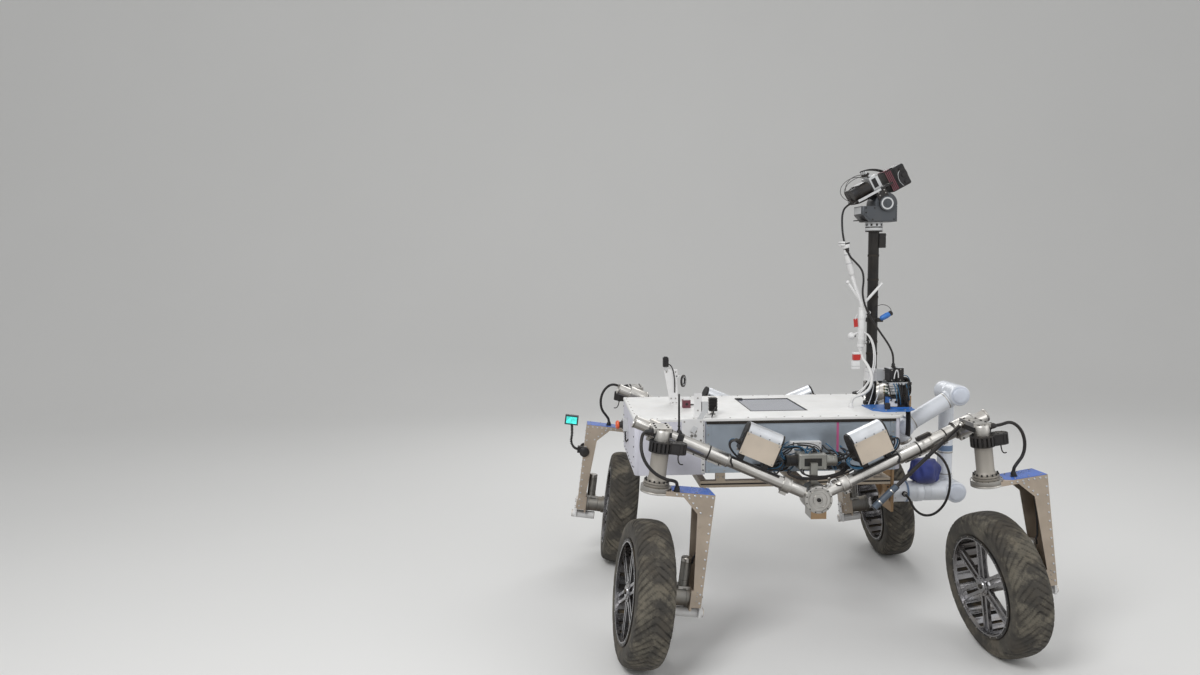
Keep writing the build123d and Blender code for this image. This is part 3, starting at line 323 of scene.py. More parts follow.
def tyre_rubber(colours):
    """Brown-black rubber with cracked dried mud in its grooves, stored as a mask on the tread, and painted shade that
    darkens the open grooves nearly to black.
    """
    finish = Finish("tyre_rubber", colours.tyre, 0, .82)
    finish.grain(700.0, .0006, shade=.35, blotch=16.0, gloss=.1)
    tree = finish.tree
    mask = new_node(tree, "Attribute", attribute_name="mud")
    cracks = map_range(tree, cell_edges(tree, finish.vector, 46.0), 0, .05)
    patches = map_range(tree, noise_node(tree, finish.vector, 9.0, 8.0, .7), .46, .6)
    spread = math_node(tree, "MULTIPLY", mask.outputs["Fac"], patches)
    spread = math_node(tree, "MULTIPLY", spread, math_node(tree, "ADD", math_node(tree, "MULTIPLY", cracks, .45), .55))
    finish.base = mix_colour(tree, spread, finish.base, (*colours.mud, 1))
    finish.dust(colours.dust, .25, .6)
    # painted shade: the open grooves are darkened nearly to black by a mask stored on the tread
    sunk = new_node(tree, "Attribute", attribute_name="sunk")
    depth = math_node(tree, "MULTIPLY", sunk.outputs["Fac"], .9, clamp=True)
    return finish.cover(mix_colour(tree, depth, finish.base, (.011, .0095, .008, 1)))


def glass(name, colour, roughness=.05):
    finish = Finish(name, colour, 0, roughness)
    finish.grain(60.0, .00002, shade=.08, gloss=.04)
    finish.coat(.8, .05)
    return finish


def screen(name, colour):
    finish = Finish(name, colour, 0, .2)
    finish.grain(200.0, .00001, shade=.25, blotch=60.0)
    finish.tree.links.new(finish.base, finish.shader.inputs["Emission Color"])
    finish.shader.inputs["Emission Strength"].default_value = .8
    return finish


def make_finishes(colours):
    """Every finish of the rover by its plain name."""
    Finish.groups = {"grain": make_grain_group(), "dust": make_dust_and_shade_group(), "scuffs": make_scratch_group()}
    dust = colours.dust
    finishes = {
        "tyre": tyre_rubber(colours),
        "window": glass("window_tint", (.36, .38, .46)),
        "lens": glass("lens_glass", (.01, .012, .02)),
        "screen": screen("screen_face", (.05, .55, .5)),
    }
    # name, colour, metallic, roughness, grain scale, bump depth, shade change, scuffs, dust, stretch of the grain
    plain = (
        ("rim", (.33, .33, .345), 1.0, .2, 500, .00004, .1, .3, .35),
        ("tube", colours.bright_metal, 1.0, .3, 420, .00006, .14, .5, .55, (.15, 1, 1)),
        ("alloy", (.42, .41, .39), 1.0, .34, 600, .00005, .12, .35, .4),
        ("cast", (.24, .235, .22), .9, .45, 260, .0002, .16, .4, .6),
        ("leg_sheet", colours.sheet_metal, .85, .42, 900, .00004, .1, .5, .5, (1, 1, .1)),
        ("box_sheet", (.62, .54, .45), .7, .4, 800, .00004, .06, .35, .3),
        ("silver", (.62, .64, .67), .9, .32, 700, .00004, .07, .3, .35, (.2, 1, 1)),
        ("panel", colours.panel, .55, .36, 650, .00004, .07, .3, .25, (.1, 1, 1)),
        ("frame_rail", (.42, .36, .29), .9, .38, 500, .00005, .1, .3, .7, (.2, 1, 1)),
        ("paint", colours.paint, 0, .38, 350, .00008, .03, .25, .3),
        ("white", (.78, .78, .78), 0, .5, 500, .0001, .04, .2, .3),
        ("arm_shell", colours.arm, .1, .36, 400, .00006, .03, .2, .25),
        ("arm_band", (.13, .2, .32), .2, .4, 500, .00006, .1, .2, .2),
        ("arm_cap", (.6, .64, .72), .1, .4, 500, .00006, .05, .2, .25),
        ("hood", colours.hood, 0, .5, 300, .0006, .3, .2, .2),
        ("film", colours.film, 0, .3, 260, .0001, .12, .4, .3),
        ("blue", (.03, .16, .5), .1, .35, 400, .00008, .1, .2, .2),
        ("dark", (.018, .019, .021), .3, .38, 600, .0001, .2, .35, .35),
        ("black", (.02, .02, .022), 0, .45, 700, .0001, .2, .3, .3),
        ("cable", (.015, .015, .017), 0, .42, 900, .00008, .2, .1, .25),
        ("blue_wire", (.015, .1, .2), 0, .45, 900, .00008, .15, .1, .25),
        ("white_wire", (.75, .75, .74), 0, .5, 900, .00008, .05, .1, .2),
        ("grey_paint", (.05, .058, .068), .1, .42, 500, .00012, .08, .3, .3),
        ("grey", (.55, .56, .57), .2, .42, 500, .0001, .05, .25, .3),
        ("bronze", (.33, .22, .125), .75, .42, 500, .0001, .15, .4, .5),
        ("rubber", (.022, .02, .019), 0, .75, 500, .0002, .2, .2, .5),
        ("conduit_blue", (.06, .085, .12), 0, .5, 500, .0001, .12, .3, .3),
        ("satin_grey", (.32, .3, .27), .5, .5, 600, .00006, .06, .3, .4),
        ("cover_paint", (.66, .66, .74), 0, .42, 350, .00008, .04, .25, .3),
        ("tinned", (.3, .3, .28), .7, .4, 400, .0001, .2, .4, .4),
        ("maroon", (.13, .03, .045), 0, .4, 500, .00008, .08, .2, .2),
        ("red", (.5, .02, .015), 0, .35, 500, .00008, .08, .2, .2),
        ("orange", (.75, .1, .02), 0, .32, 500, .00008, .06, .2, .2),
        ("pink", (.5, .1, .25), 0, .5, 500, .00008, .06, .2, .2),
        ("board", (.02, .09, .06), 0, .45, 500, .0001, .3, .1, .1),
        ("brass", (.6, .42, .16), 1.0, .35, 500, .00006, .1, .2, .2),
    )
    for name, colour, metallic, roughness, scale, bump, shade, scuff, dusty, *stretch in plain:
        finish = Finish(name + "_finish", colour, metallic, roughness)
        finish.grain(scale, bump, *stretch, shade=shade)
        finish.scuffs(28.0, [channel * .55 for channel in colour], scuff)
        # painted shade on faces that look down: strong on metals, light on paint and plastics
        finish.dust(dust, dusty, underside_shade=.8 if metallic > .4 else .3)
        if max(colour) < .05:
            finish.shader.inputs["Specular IOR Level"].default_value = .25
        finishes[name] = finish
    for name in ("arm_shell", "film", "orange"):
        finishes[name].coat(.3)
    return {name: finish.material for name, finish in finishes.items()}


def circle(centre, way, side, radius, steps, phase=0):
    """Points round a centre in the plane square to way, from side on."""
    across = way.cross(side)
    turns = [phase + tau * i / steps for i in range(steps)]
    return [centre + (side * cos(turn) + across * sin(turn)) * radius for turn in turns]


class Shape:
    """A mesh under construction, in the rover's frame, that gathers its finishes as they are used."""

    def __init__(self, *finishes, at=None):
        self.mesh = bmesh.new()
        self.finishes = list(finishes)
        self.at = at or Matrix.Identity(4)

    def paint(self, faces, finish):
        if finish not in self.finishes:
            self.finishes.append(finish)
        for face in faces:
            face.material_index = self.finishes.index(finish)

    def add(self, vertices, faces, finish):
        made = [self.mesh.verts.new(self.at @ Vector(vertex)) for vertex in vertices]
        new_faces = [self.mesh.faces.new([made[i] for i in face]) for face in faces]
        self.paint(new_faces, finish)
        return new_faces

    def box(self, corner, opposite, finish):
        """A box between any two opposite corners."""
        spans = [sorted(pair) for pair in zip(corner, opposite)]
        corners = [(x, y, z) for x in spans[0] for y in spans[1] for z in spans[2]]
        faces = [(0, 1, 3, 2), (4, 6, 7, 5), (0, 4, 5, 1), (2, 3, 7, 6), (0, 2, 6, 4), (1, 5, 7, 3)]
        return self.add(corners, faces, finish)

    def block(self, centre, size, finish):
        low = [c - s / 2 for c, s in zip(centre, size)]
        high = [c + s / 2 for c, s in zip(centre, size)]
        return self.box(low, high, finish)

    def skin(self, rings, finish, looped=False, caps=True):
        """Joins rings of points into one surface, closed by caps at both ends or joined to its start."""
        steps, count = len(rings[0]), len(rings)
        faces = []
        for ring in range(count if looped else count - 1):
            above = (ring + 1) % count
            for i in range(steps):
                j = (i + 1) % steps
                faces.append((ring * steps + i, ring * steps + j, above * steps + j, above * steps + i))
        if caps and not looped:
            faces += [tuple(reversed(range(steps))), tuple(range((count - 1) * steps, count * steps))]
        return self.add([point for ring in rings for point in ring], faces, finish)

    def grid(self, rows):
        """Joins closed rows of mesh corners, without caps."""
        for lower, upper in zip(rows, rows[1:]):
            for i in range(len(lower)):
                k = (i + 1) % len(lower)
                self.mesh.faces.new((lower[i], lower[k], upper[k], upper[i]))

    def post(self, x, y, half, low, high, finish):
        """A square post that stands on its middle."""
        self.box((x - half, y - half, low), (x + half, y + half, high), finish)

    def lathe(self, profile, start, way, finish, steps=48, caps=True):
        """Turns a profile of (distance along, radius) about the line from start along way.

        A profile that returns to its first point makes a ring, and any other one is capped at both ends.
        """
        way = Vector(way).normalized()
        side = way.orthogonal().normalized()
        start = Vector(start)
        looped = profile[0] == profile[-1]
        rows = profile[:-1] if looped else profile
        rings = [circle(start + way * along, way, side, radius, steps) for along, radius in rows]
        return self.skin(rings, finish, looped, caps)

    def rod(self, start, end, radius, finish, steps=24, chamfer=.0008):
        start, end = Vector(start), Vector(end)
        length = (end - start).length
        profile = [(0, radius - chamfer), (chamfer, radius), (length - chamfer, radius), (length, radius - chamfer)]
        return self.lathe(profile, start, end - start, finish, steps)

    def dome(self, start, way, radius, height, finish, steps=32, rings=6):
        """A rounded cap: a quarter ellipse turned about way."""
        profile = [
            (height * sin(pi / 2 * i / rings), max(radius * cos(pi / 2 * i / rings), .0004))
            for i in range(rings + 1)
        ]
        return self.lathe(profile, start, way, finish, steps)

    def prism(self, outline, thickness, origin, across, up, finish):
        """A flat plate: outline points (u, v) in the plane of across and up, thick along their normal."""
        origin, across, up = Vector(origin), Vector(across).normalized(), Vector(up).normalized()
        normal = across.cross(up).normalized() * thickness
        base = [origin + across * u + up * v for u, v in outline]
        return self.skin([base, [point + normal for point in base]], finish)

    def bolt(self, at, way, radius, height, finish):
        """Socket-head bolt: a chamfered round head with a sunk middle."""
        way = Vector(way).normalized()
        profile = [
            (0, radius),
            (height * .75, radius),
            (height, radius * .82),
            (height, radius * .5),
            (height * .35, radius * .45),
        ]
        return self.lathe(profile, at, way, finish, 12)

    def bolts(self, xs, ys, zs, way, radius, height, finish):
        """Bolts on a grid; each of xs, ys and zs is one number or several."""
        for place in product(*(axis if isinstance(axis, tuple) else (axis,) for axis in (xs, ys, zs))):
            self.bolt(place, way, radius, height, finish)

    def bolt_ring(self, centre, way, ring_radius, count, radius, height, finish, phase=0):
        way = Vector(way).normalized()
        for at in circle(Vector(centre), way, way.orthogonal().normalized(), ring_radius, count, phase):
            self.bolt(at, way, radius, height, finish)

    def bolt_row(self, start, end, way, count, radius, height, finish):
        start, end = Vector(start), Vector(end)
        for i in range(count):
            share = i / max(count - 1, 1)
            self.bolt(start.lerp(end, share), way, radius, height, finish)

    def path(self, points, radius, finish, steps=10):
        """A thin bent tube through the points."""
        points = [Vector(point) for point in points]
        ways = [(b - a).normalized() for a, b in zip(points, points[1:])]
        tangents = [ways[0]] + [(a + b).normalized() for a, b in zip(ways, ways[1:])] + [ways[-1]]
        side = tangents[0].orthogonal().normalized()
        rings = []
        for point, tangent in zip(points, tangents):
            side = (side - tangent * side.dot(tangent)).normalized()
            rings.append(circle(point, tangent, side, radius, steps))
        return self.skin(rings, finish)

    def bend(self, start, toward, before, end, steps, radius, finish, sides=10):
        """A thin tube on one smooth bend."""
        return self.path(bend_points(start, toward, before, end, steps), radius, finish, sides)

    def finish(self, name, body, slot=None, nodes=(), rounding=0, smooth=35.0):
        """Turns the shape into a piece that rides on a body and stands for the nodes it replaces."""
        bmesh.ops.recalc_face_normals(self.mesh, faces=self.mesh.faces)
        data = bpy.data.meshes.new(name)
        self.mesh.to_mesh(data)
        self.mesh.free()
        for finish in self.finishes:
            data.materials.append(Finish.made[finish])
        data.polygons.foreach_set("use_smooth", [True] * len(data.polygons))
        data.set_sharp_from_angle(angle=radians(smooth))
        piece = new_object(name, data)
        if rounding:
            add_rounding(piece, rounding)
        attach(piece, body)
        if nodes:
            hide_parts(*nodes)
        return piece


def new_object(name, data):
    """Object with this data in the scene."""
    made = bpy.data.objects.new(name, data)
    bpy.context.scene.collection.objects.link(made)
    return made


def add_rounding(piece, width, angle=40.0):
    bevel = piece.modifiers.new("edge_round", "BEVEL")
    bevel.width = width
    bevel.segments = 2
    bevel.limit_method = "ANGLE"
    bevel.angle_limit = radians(angle)
    bevel.harden_normals = True
    bevel.use_clamp_overlap = True
    return bevel


def dress_node(name, finish, rounding=0, angle=40.0):
    """Gives a CAD node its finish, and rounds its edges without touching its mesh."""
    node = NODES[name]
    node.data.materials.clear()
    node.data.materials.append(Finish.made[finish])
    if rounding:
        weld = node.modifiers.new("weld", "WELD")
        weld.merge_threshold = .00002
        flatten = node.modifiers.new("flatten", "DECIMATE")
        flatten.decimate_type = "DISSOLVE"
        flatten.angle_limit = radians(.5)
        add_rounding(node, rounding, angle)
    return node


def shared(context):
    """Makes the finishes if there are none yet, and gives the sizes."""
    scene = context.scene
    if not Finish.made:
        Finish.made = make_finishes(scene.rover_colours)
    return scene.rover_sizes


def corner_frame(name, steered=True):
    """Frame of a wheel corner: x along the axle towards the leg, z up the leaning steering axis."""
    joint = JOINTS["steer_" + name]
    up = Vector(joint["axis"]).normalized()
    axle = Vector(JOINTS["wheel_" + name]["axis"]).normalized()
    leg_low, leg_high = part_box("leg_" + name)
    if axle.x * ((leg_low.x + leg_high.x) / 2 - joint["pos_m"][0]) < 0:
        axle = -axle
    if not steered:
        ahead = Y.cross(up).normalized()
        axle = ahead if axle.dot(ahead) > 0 else -ahead
    across = up.cross(axle)
    basis = Matrix((axle, across, up)).transposed().to_4x4()
    return Matrix.Translation(Vector(joint["pos_m"])) @ basis


def steer_corner(name):
    """Unsteered frame of a corner, its side as front or rear, and whether its cable goes over the drive."""
    drive = corner_frame(name, steered=False)
    fore = 1 if name.startswith("front") else -1
    return drive, fore, fore * drive[0][0] > 0


# height of the clamp block on the steering axis
CLAMP_Z = .6429
WHEEL_RADIUS = (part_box("tyre_rear_left")[1].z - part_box("tyre_rear_left")[0].z) / 2
TREAD_HALF = .072
TYRE_HALF = .078
RIM_RADIUS = .2
RIM_HALF = .075


def tyre_outline(share):
    """Point of the tyre's section, (along the axle, radius), from bead to bead as share goes -1 to 1."""
    side = copysign(1, share)
    share = abs(share)
    if share < .5:
        across = TREAD_HALF * sin(share / .5 * pi / 2 * .86) / sin(pi / 2 * .86)
        drop = .0235 * (share / .5) ** 2.4
        return side * across, WHEEL_RADIUS - drop
    turn = (share - .5) / .5
    across = TREAD_HALF + (TYRE_HALF - TREAD_HALF) * sin(turn * pi * .55) - .013 * turn ** 3
    radius = WHEEL_RADIUS - .0235 - (WHEEL_RADIUS - .0235 - RIM_RADIUS) * turn
    return side * across, radius


def tread_groove(turn, share, grooves):
    """Depth share of the tread at an angle and a place across it: 1 in a groove, 0 on a lug."""
    across = abs(share) / .5
    if across > 1.28:
        return 0
    slant = turn * grooves / tau - across * 2.6 * (1 if share > 0 else 1.04)
    phase = slant % 1.0
    sipe = 1.0 if phase < .2 else 0
    wide = 1.0 if (slant % 6.0) < .3 else 0
    ring = .7 if abs(across - .52) < .022 and (slant % 3.0) < 1.6 else 0
    edge = 1.0 if across > .93 and (slant % 3.0) < .9 else 0
    groove = max(sipe * (.8 if across > .06 else 0), wide, ring, edge)
    if across > 1.0:
        groove *= max(0, 1 - (across - 1.0) / .28)
    return groove


def make_tyre(name, sizes, seed):
    """Tyre with slanted grooves partly filled with dried mud, and a mask of painted shade in the open grooves."""
    around, across = 624, 58
    frame_at = corner_frame(name)
    shape = Shape("tyre", at=frame_at)
    mesh = shape.mesh
    mud_layer = mesh.verts.layers.float.new("mud")
    groove_shade_layer = mesh.verts.layers.float.new("sunk")
    rows = []
    for j in range(across + 1):
        share = -1 + 2 * j / across
        along, radius = tyre_outline(share)
        row = []
        for i in range(around):
            turn = tau * i / around
            groove = tread_groove(turn, share, sizes.tread_grooves)
            place = Vector((along * 14, cos(turn) * 3.1, sin(turn) * 3.1 + seed * 7.7))
            clog = .5 + .75 * noise.noise(place * 1.6) + .35 * noise.noise(place * 6.0)
            clog = min(max(clog, 0), 1.0)
            lump = .0006 * noise.noise(place * 9.0)
            depth = groove * sizes.tread_depth * (1.0 - .72 * clog)
            r = radius - depth + (lump - .0006 if abs(share) < .62 else 0)
            vertex = mesh.verts.new(frame_at @ Vector((along, r * cos(turn), r * sin(turn))))
            wide_mud = .35 + .65 * clog if abs(share) < .62 else .45 * clog
            vertex[mud_layer] = min(1.0, .25 + .75 * wide_mud)
            # mask of painted shade in the grooves, weaker where mud fills them
            vertex[groove_shade_layer] = groove * (1.0 - .7 * clog)
            row.append(vertex)
        rows.append(row)
    shape.grid(rows)
    bead = [(-RIM_HALF + .008, RIM_RADIUS + .0004), (RIM_HALF - .008, RIM_RADIUS + .0004)]
    shape.lathe(
        [(0, bead[0][1] + .008), (.001, bead[0][1]), (bead[1][0] - bead[0][0] - .001, bead[0][1]),
         (bead[1][0] - bead[0][0], bead[0][1] + .008)], (bead[0][0], 0, 0), X, "rubber", 96, caps=False,
    )
    return shape.finish("tyre_tread_" + name, "wheel_" + name, "tyre", ("tyre_" + name,), smooth=50)


def make_rim(name, sizes):
    """Slotted drum with its lips, paired spokes, hub and bolts."""
    shape = Shape(at=corner_frame(name))
    inner = RIM_RADIUS - .009
    lip = .0048
    for side in SIDES:
        shape.lathe(
            [(.0008, inner + .0035), (.0003, RIM_RADIUS + lip - .001), (.001, RIM_RADIUS + lip), (.006,
             RIM_RADIUS + lip), (.008, RIM_RADIUS), (.0128, RIM_RADIUS), (.0128, inner + .0035), (.0008,
             inner + .0035)], (side * RIM_HALF, 0, 0), X * -side, "dark", 90,
        )
        shape.lathe(
            [(0, inner - .001), (0, inner + .0036), (.013, inner + .0036), (.013, inner - .001), (0, inner - .001)],
            (side * RIM_HALF, 0, 0), X * -side, "rim", 90,
        )
        shape.bolt_ring(
            (side * (RIM_HALF - .0005), 0, 0), X * side, RIM_RADIUS - .0015, sizes.rim_slots, .0026, .0016, "alloy",
        )
    slot_share = .34
    step = tau / sizes.rim_slots
    for i in range(sizes.rim_slots):
        middle = step * (i + .5)
        half = step * (1 - slot_share) / 2
        slat_section(shape, middle - half, middle + half, inner, RIM_RADIUS)
    spokes(shape, sizes, inner)
    shape.lathe(mm(0, 12, 0, 24, 4, 26, 6, 39, 20, 40, 28, 36, 30, 30, 134, 30, 138, 26), (-.069, 0, 0), X, "rim", 48)
    shape.bolt_ring((-.0632, 0, 0), -X, .032, 8, .003, .002, "dark")
    shape.lathe(mm(0, 1, .5, 9.5, 4, 11, 6, 11), (-.0745, 0, 0), X, "dark", 6)
    return shape.finish("rim_drum_" + name, "wheel_" + name, "rim_aluminium", ("rim_" + name,), rounding=.0005)


def slat_section(shape, low, high, inner, outer):
    """One slat of the drum between two slots, with a raised rib along its middle."""
    parts = 4
    half = RIM_HALF - .012
    vertices = []
    for turn in [low + (high - low) * k / parts for k in range(parts + 1)]:
        rise = .0022 if abs(turn - (low + high) / 2) < (high - low) * .13 else 0
        for x, radius in ((-half, inner - rise), (half, inner - rise), (half, outer), (-half, outer)):
            vertices.append((x, radius * cos(turn), radius * sin(turn)))
    faces = [(0, 3, 2, 1), tuple(4 * parts + k for k in range(4))]
    for k in range(parts):
        for a, b in ((0, 1), (1, 2), (2, 3), (3, 0)):
            faces.append((4 * k + a, 4 * k + b, 4 * k + 4 + b, 4 * k + 4 + a))
    shape.add(vertices, faces, "rim")


def spokes(shape, sizes, inner):
    """Pairs of bars from the hub to the drum, each with a foot bolted to the drum."""
    home = shape.at
    for i in range(sizes.spoke_pairs):
        shape.at = home @ Matrix.Rotation(tau * i / sizes.spoke_pairs, 4, "X")
        for side in SIDES:
            y = side * .015
            outline = [
                (-.0065, .026), (.0065, .026), (.0056, .12), (.0065, inner + .001), (-.0065, inner + .001),
                (-.0056, .12),
            ]
            shape.prism([(u + y, v) for u, v in outline], .014, (-.0592, 0, 0), Y, Z, "rim")
        shape.block((-.052, 0, inner - .002), (.019, .052, .007), "rim")
        for side in SIDES:
            shape.bolt((-.0615, side * .019, inner - .002), -X, .0024, .0016, "dark")
    shape.at = home


LEG_REACH = .228
LEG_TOP = .427
LEG_FOOT = -.028
LEG_HALF = .052
LEG_GUSSET = .062
ARM_HEIGHT = .018
POST_TOP = .062
POST_FOOT = .032


def make_leg_details(name, sizes):
    """Blue film on the arm, rivet rows on the cheeks, bolted flange and the white guard."""
    frame_at = corner_frame(name)
    shape = Shape(at=frame_at)
    film = mm(60, -30, 85, -48, 226.5, -50.5, 226.5, 50.5, 85, 48, 60, 30)
    shape.prism(film, .0016, (0, 0, LEG_TOP), X, Y, "film")
    for x, y in mm(100, 36, 100, -36, 208, 40, 208, -40, 155, 40, 155, -40):
        shape.bolt((x, y, LEG_TOP + .0016), Z, sizes.bolt_radius, .0024, "alloy")
    for side in SIDES:
        face = side * LEG_HALF
        way = Y * side
        edge = LEG_REACH - .009
        shape.bolt_row((edge, face, LEG_FOOT + .02), (edge, face, LEG_TOP - .012), way, 13, .004, .0024, "silver")
        shape.bolt_row((.075, face, LEG_TOP - .009), (edge - .024, face, LEG_TOP - .009), way, 6, .004, .0024, "silver")
        low = (LEG_REACH - POST_TOP + .012, face, LEG_TOP - ARM_HEIGHT - LEG_GUSSET + .006)
        high = (LEG_REACH - POST_TOP - LEG_GUSSET + .022, face, LEG_TOP - ARM_HEIGHT - .002)
        shape.bolt_row(low, high, way, 4, .004, .0024, "silver")
        shape.bolt_row(
            (LEG_REACH - POST_FOOT + .01, face, 0), (LEG_REACH - POST_FOOT + .01, face, .036), way, 3, .0031, .0018,
            "alloy",
        )
    for y in (-.044, .044):
        shape.bolt_row((LEG_REACH, y, .02), (LEG_REACH, y, LEG_TOP - .012), X, 12, .0038, .002, "silver")
    shape.bolt_ring((0, 0, .435), Z, .0565, 16, .0028, .0003, "dark")
    shape.lathe(
        mm(0, 59.5, .4, 60.6, 6, 60.6, 7.5, 59.6, 9, 60.6, 25.5, 60.6, 26, 59.8), (0, 0, LEG_TOP - ARM_HEIGHT), Z,
        "alloy", 64,
    )
    guard_details(shape)
    return shape.finish("leg_details_" + name, "steer_" + name, "leg_aluminium")


def guard_details(shape):
    """White sleeve and bracket over the guard below the wheel drive."""
    guard_z = -.064
    radius = .0197
    shape.lathe(
        [(0, .004), (0, radius - .003), (.003, radius), (.118, radius), (.122, radius - .004), (.122, .004)],
        (.1312, 0, guard_z), X, "white", 40,
    )
    outline = mm(-32, -12, 32, -12, 34, 20, 22, 86.5, -22, 86.5, -34, 20)
    shape.prism(outline, .0092, (LEG_REACH - .0002, 0, guard_z), Y, Z, "white")
    shape.bolts(LEG_REACH + .009, (-.02, .02), (guard_z + .034, guard_z + .07), X, .0036, .0026, "dark")


def make_wheel_drive(name):
    """Gearbox in line with the axle, with its flanges, and the motor that stands on it."""
    shape = Shape(at=corner_frame(name))
    shape.lathe(
        mm(0, 33, 0, 43.5, 12, 43.5, 13, 39.5, 30, 39.5, 31, 38.5, 34, 38.5, 35, 39.5, 80, 39.5, 81, 41.5, 93.5, 41.5),
        (.0884, 0, 0), X, "cast", 56,
    )
    shape.bolt_ring((.0884, 0, 0), -X, .038, 10, .0026, .0014, "dark")
    motor_x = .16
    shape.lathe(
        mm(0, 26, 6, 26, 7, 21.5, 30, 21.5, 31, 20.5, 34, 20.5, 35, 21.5, 105, 21.5, 106, 19.5, 120, 19.5, 124, 15),
        (motor_x, 0, .034), Z, "cast", 40,
    )
    shape.lathe(mm(0, 21.7, 14, 21.7, 17, 19.5, 17.5, 4), (motor_x, 0, .1415), Z, "alloy", 40)
    shape.block((motor_x, 0, .04), (.05, .05, .012), "alloy")
    shape.block((motor_x + .019, 0, .144), (.016, .02, .018), "dark")
    shape.path(
        [(motor_x + .024, 0, .15), (motor_x + .034, 0, .17), (motor_x + .044, .01, .21), (motor_x + .046, .014, .3),
         (motor_x + .044, .012, .36), (motor_x + .02, .008, .402), (motor_x - .03, 0, .4225)], .0042, "cable", 12,
    )
    return shape.finish("gearbox_" + name, "steer_" + name, "drive_steel", ("wheel_drive_" + name,), rounding=.0006)


def make_steer_drive(name):
    """Steering drive: bolted flange, round satin housing and bright cap."""
    at = corner_frame(name, steered=False)
    shape = Shape(at=at)
    shape.lathe(
        mm(0, 44, 0, 51.5, 1, 52, 8, 52, 9, 46, 12, 46, 12.5, 50.5, 18, 50.5, 18.5, 40, 30, 36.2, 34, 34, 133.5, 34),
        (0, 0, .4354), Z, "satin_grey", 64,
    )
    shape.bolt_ring((0, 0, .4534), Z, .0455, 14, .0036, .0075, "dark")
    shape.lathe(
        mm(0, 30, 6, 30, 6.5, 28.8, 9.5, 28.8, 10, 30.3, 36, 30.3, 39.5, 28.5, 42.5, 26.5, 43, 12), (0, 0, .612), Z,
        "alloy", 56,
    )
    shape.bolt_ring((0, 0, .6548), Z, .02, 6, .0026, .0018, "dark")
    shape.finish("steer_housing_" + name, "chassis", "anodised_black", ("steer_drive_" + name,))
    make_steer_ring(name, at)
    make_steer_block(name)


def make_steer_ring(name, at):
    """Black finned ring with its side lobe and the small lead that hangs from it."""
    shape = Shape(at=at)
    low, high, radius, fins = .568, .612, .047, 17
    reach, lobe = .072, .0275
    places = [(0, radius, tau * i / fins) for i in range(fins) if abs((tau * i / fins + pi) % tau - pi) > .62]
    places += [(reach, lobe + .0022, radians(turn)) for turn in range(-80, 81, 32)]
    for middle, out, turn in places:
        way = Vector((cos(turn), sin(turn), 0))
        across = Vector((-sin(turn), cos(turn), 0))
        outline = [(-.0048, low + .003), (.0048, low + .003), (.0048, high - .004), (-.0048, high - .004)]
        shape.prism(outline, .0075, X * middle + way * (out - .0078), across, Z, "black")
    shape.lathe(
        [(0, .033), (0, radius - .001), (.001, radius), (.0035, radius), (.0045, radius - .0085), (.0385,
         radius - .0085), (.0395, radius), (.043, radius), (.044, radius - .001), (.044, .033)], (0, 0, low), Z,
        "black", 80,
    )
    for base, tall, grow in ((low, .044, 0), (low, .0055, .0022), (high - .0055, .0055, .0022)):
        r = lobe + grow
        outline = [(.03, -r)] + [(reach + r * cos(radians(a)), r * sin(radians(a))) for a in range(-90, 91, 12)] + [
            (.03, r),
        ]
        shape.prism(outline, tall, (0, 0, base), X, Y, "black")
    shape.bolt_ring((reach, 0, high), Z, .021, 6, .0026, .002, "dark")
    shape.bolt_ring((0, 0, high), Z, .0405, 8, .0024, .002, "dark")
    shape.rod((reach, 0, low + .002), (reach, 0, low - .006), .008, "dark", 20)
    shape.bend(
        (reach, 0, low - .004), (reach, 0, low - .03), (reach + .006, .004, low - .046),
        (reach + .024, .008, low - .042), 10, .0026, "cable", 8,
    )
    shape.finish("steer_ring_" + name, "chassis", "anodised_black", rounding=.0006)


def make_steer_block(name):
    """Small split clamp block between the tube and the steering drive, with its screws and plugs."""
    drive, fore, _ = steer_corner(name)
    top = drive @ (Z * CLAMP_Z)
    half_x, half_z = .0357, .0182
    side = 1 if name.endswith("left") else -1
    low, high = sorted((tube_place(top.x, side).y + side * .034, top.y + side * .0092))
    shape = Shape()
    shape.box((top.x - half_x, low, top.z - half_z), (top.x + half_x, high, top.z - .001), "dark")
    shape.box((top.x - half_x, low, top.z + .001), (top.x + half_x, high, top.z + half_z), "alloy")
    shape.box((top.x - .033, low + .002, top.z - .002), (top.x + .033, high - .002, top.z + .002), "dark")
    for x, y in product((-.024, .024), (.2, .5, .86)):
        shape.bolt((top.x + x, low + (high - low) * y, top.z + half_z), Z, .0042, .0035, "dark")
    for share in (.3, .62):
        place = (top.x + fore * half_x, low + (high - low) * share, top.z - .006)
        shape.lathe(mm(0, 10.5, 6, 10.5, 7, 8.5, 20, 8.5, 21, 6, 27, 5.5), place, X * fore, "black", 20)
    shape.finish("clamp_block_" + name, "chassis", "anodised_black", rounding=.001)


CAMERA_PLACE = Vector((-1.0409, -3.9774, 1.5939))
CAMERA_YAW = radians(2.82)
CAMERA_PITCH = radians(-4.956)
CAMERA_ROLL = radians(-.45)


def aim_camera(sizes):
    """Camera at the photograph's place, angle and framing."""
    ahead = Vector((sin(CAMERA_YAW) * cos(CAMERA_PITCH), cos(CAMERA_YAW) * cos(CAMERA_PITCH), sin(CAMERA_PITCH)))
    right = Vector((cos(CAMERA_YAW), -sin(CAMERA_YAW), 0))
    up = right.cross(ahead)
    across = right * cos(CAMERA_ROLL) + up * sin(CAMERA_ROLL)
    above = up * cos(CAMERA_ROLL) - right * sin(CAMERA_ROLL)
    data = bpy.data.cameras.new("photo_camera")
    data.sensor_width = 36
    data.lens = sizes.lens_mm
    camera = new_object("photo_camera", data)
    camera.matrix_world = Matrix.Translation(CAMERA_PLACE) @ Matrix((across, above, -ahead)).transposed().to_4x4()
    bpy.context.scene.camera = camera


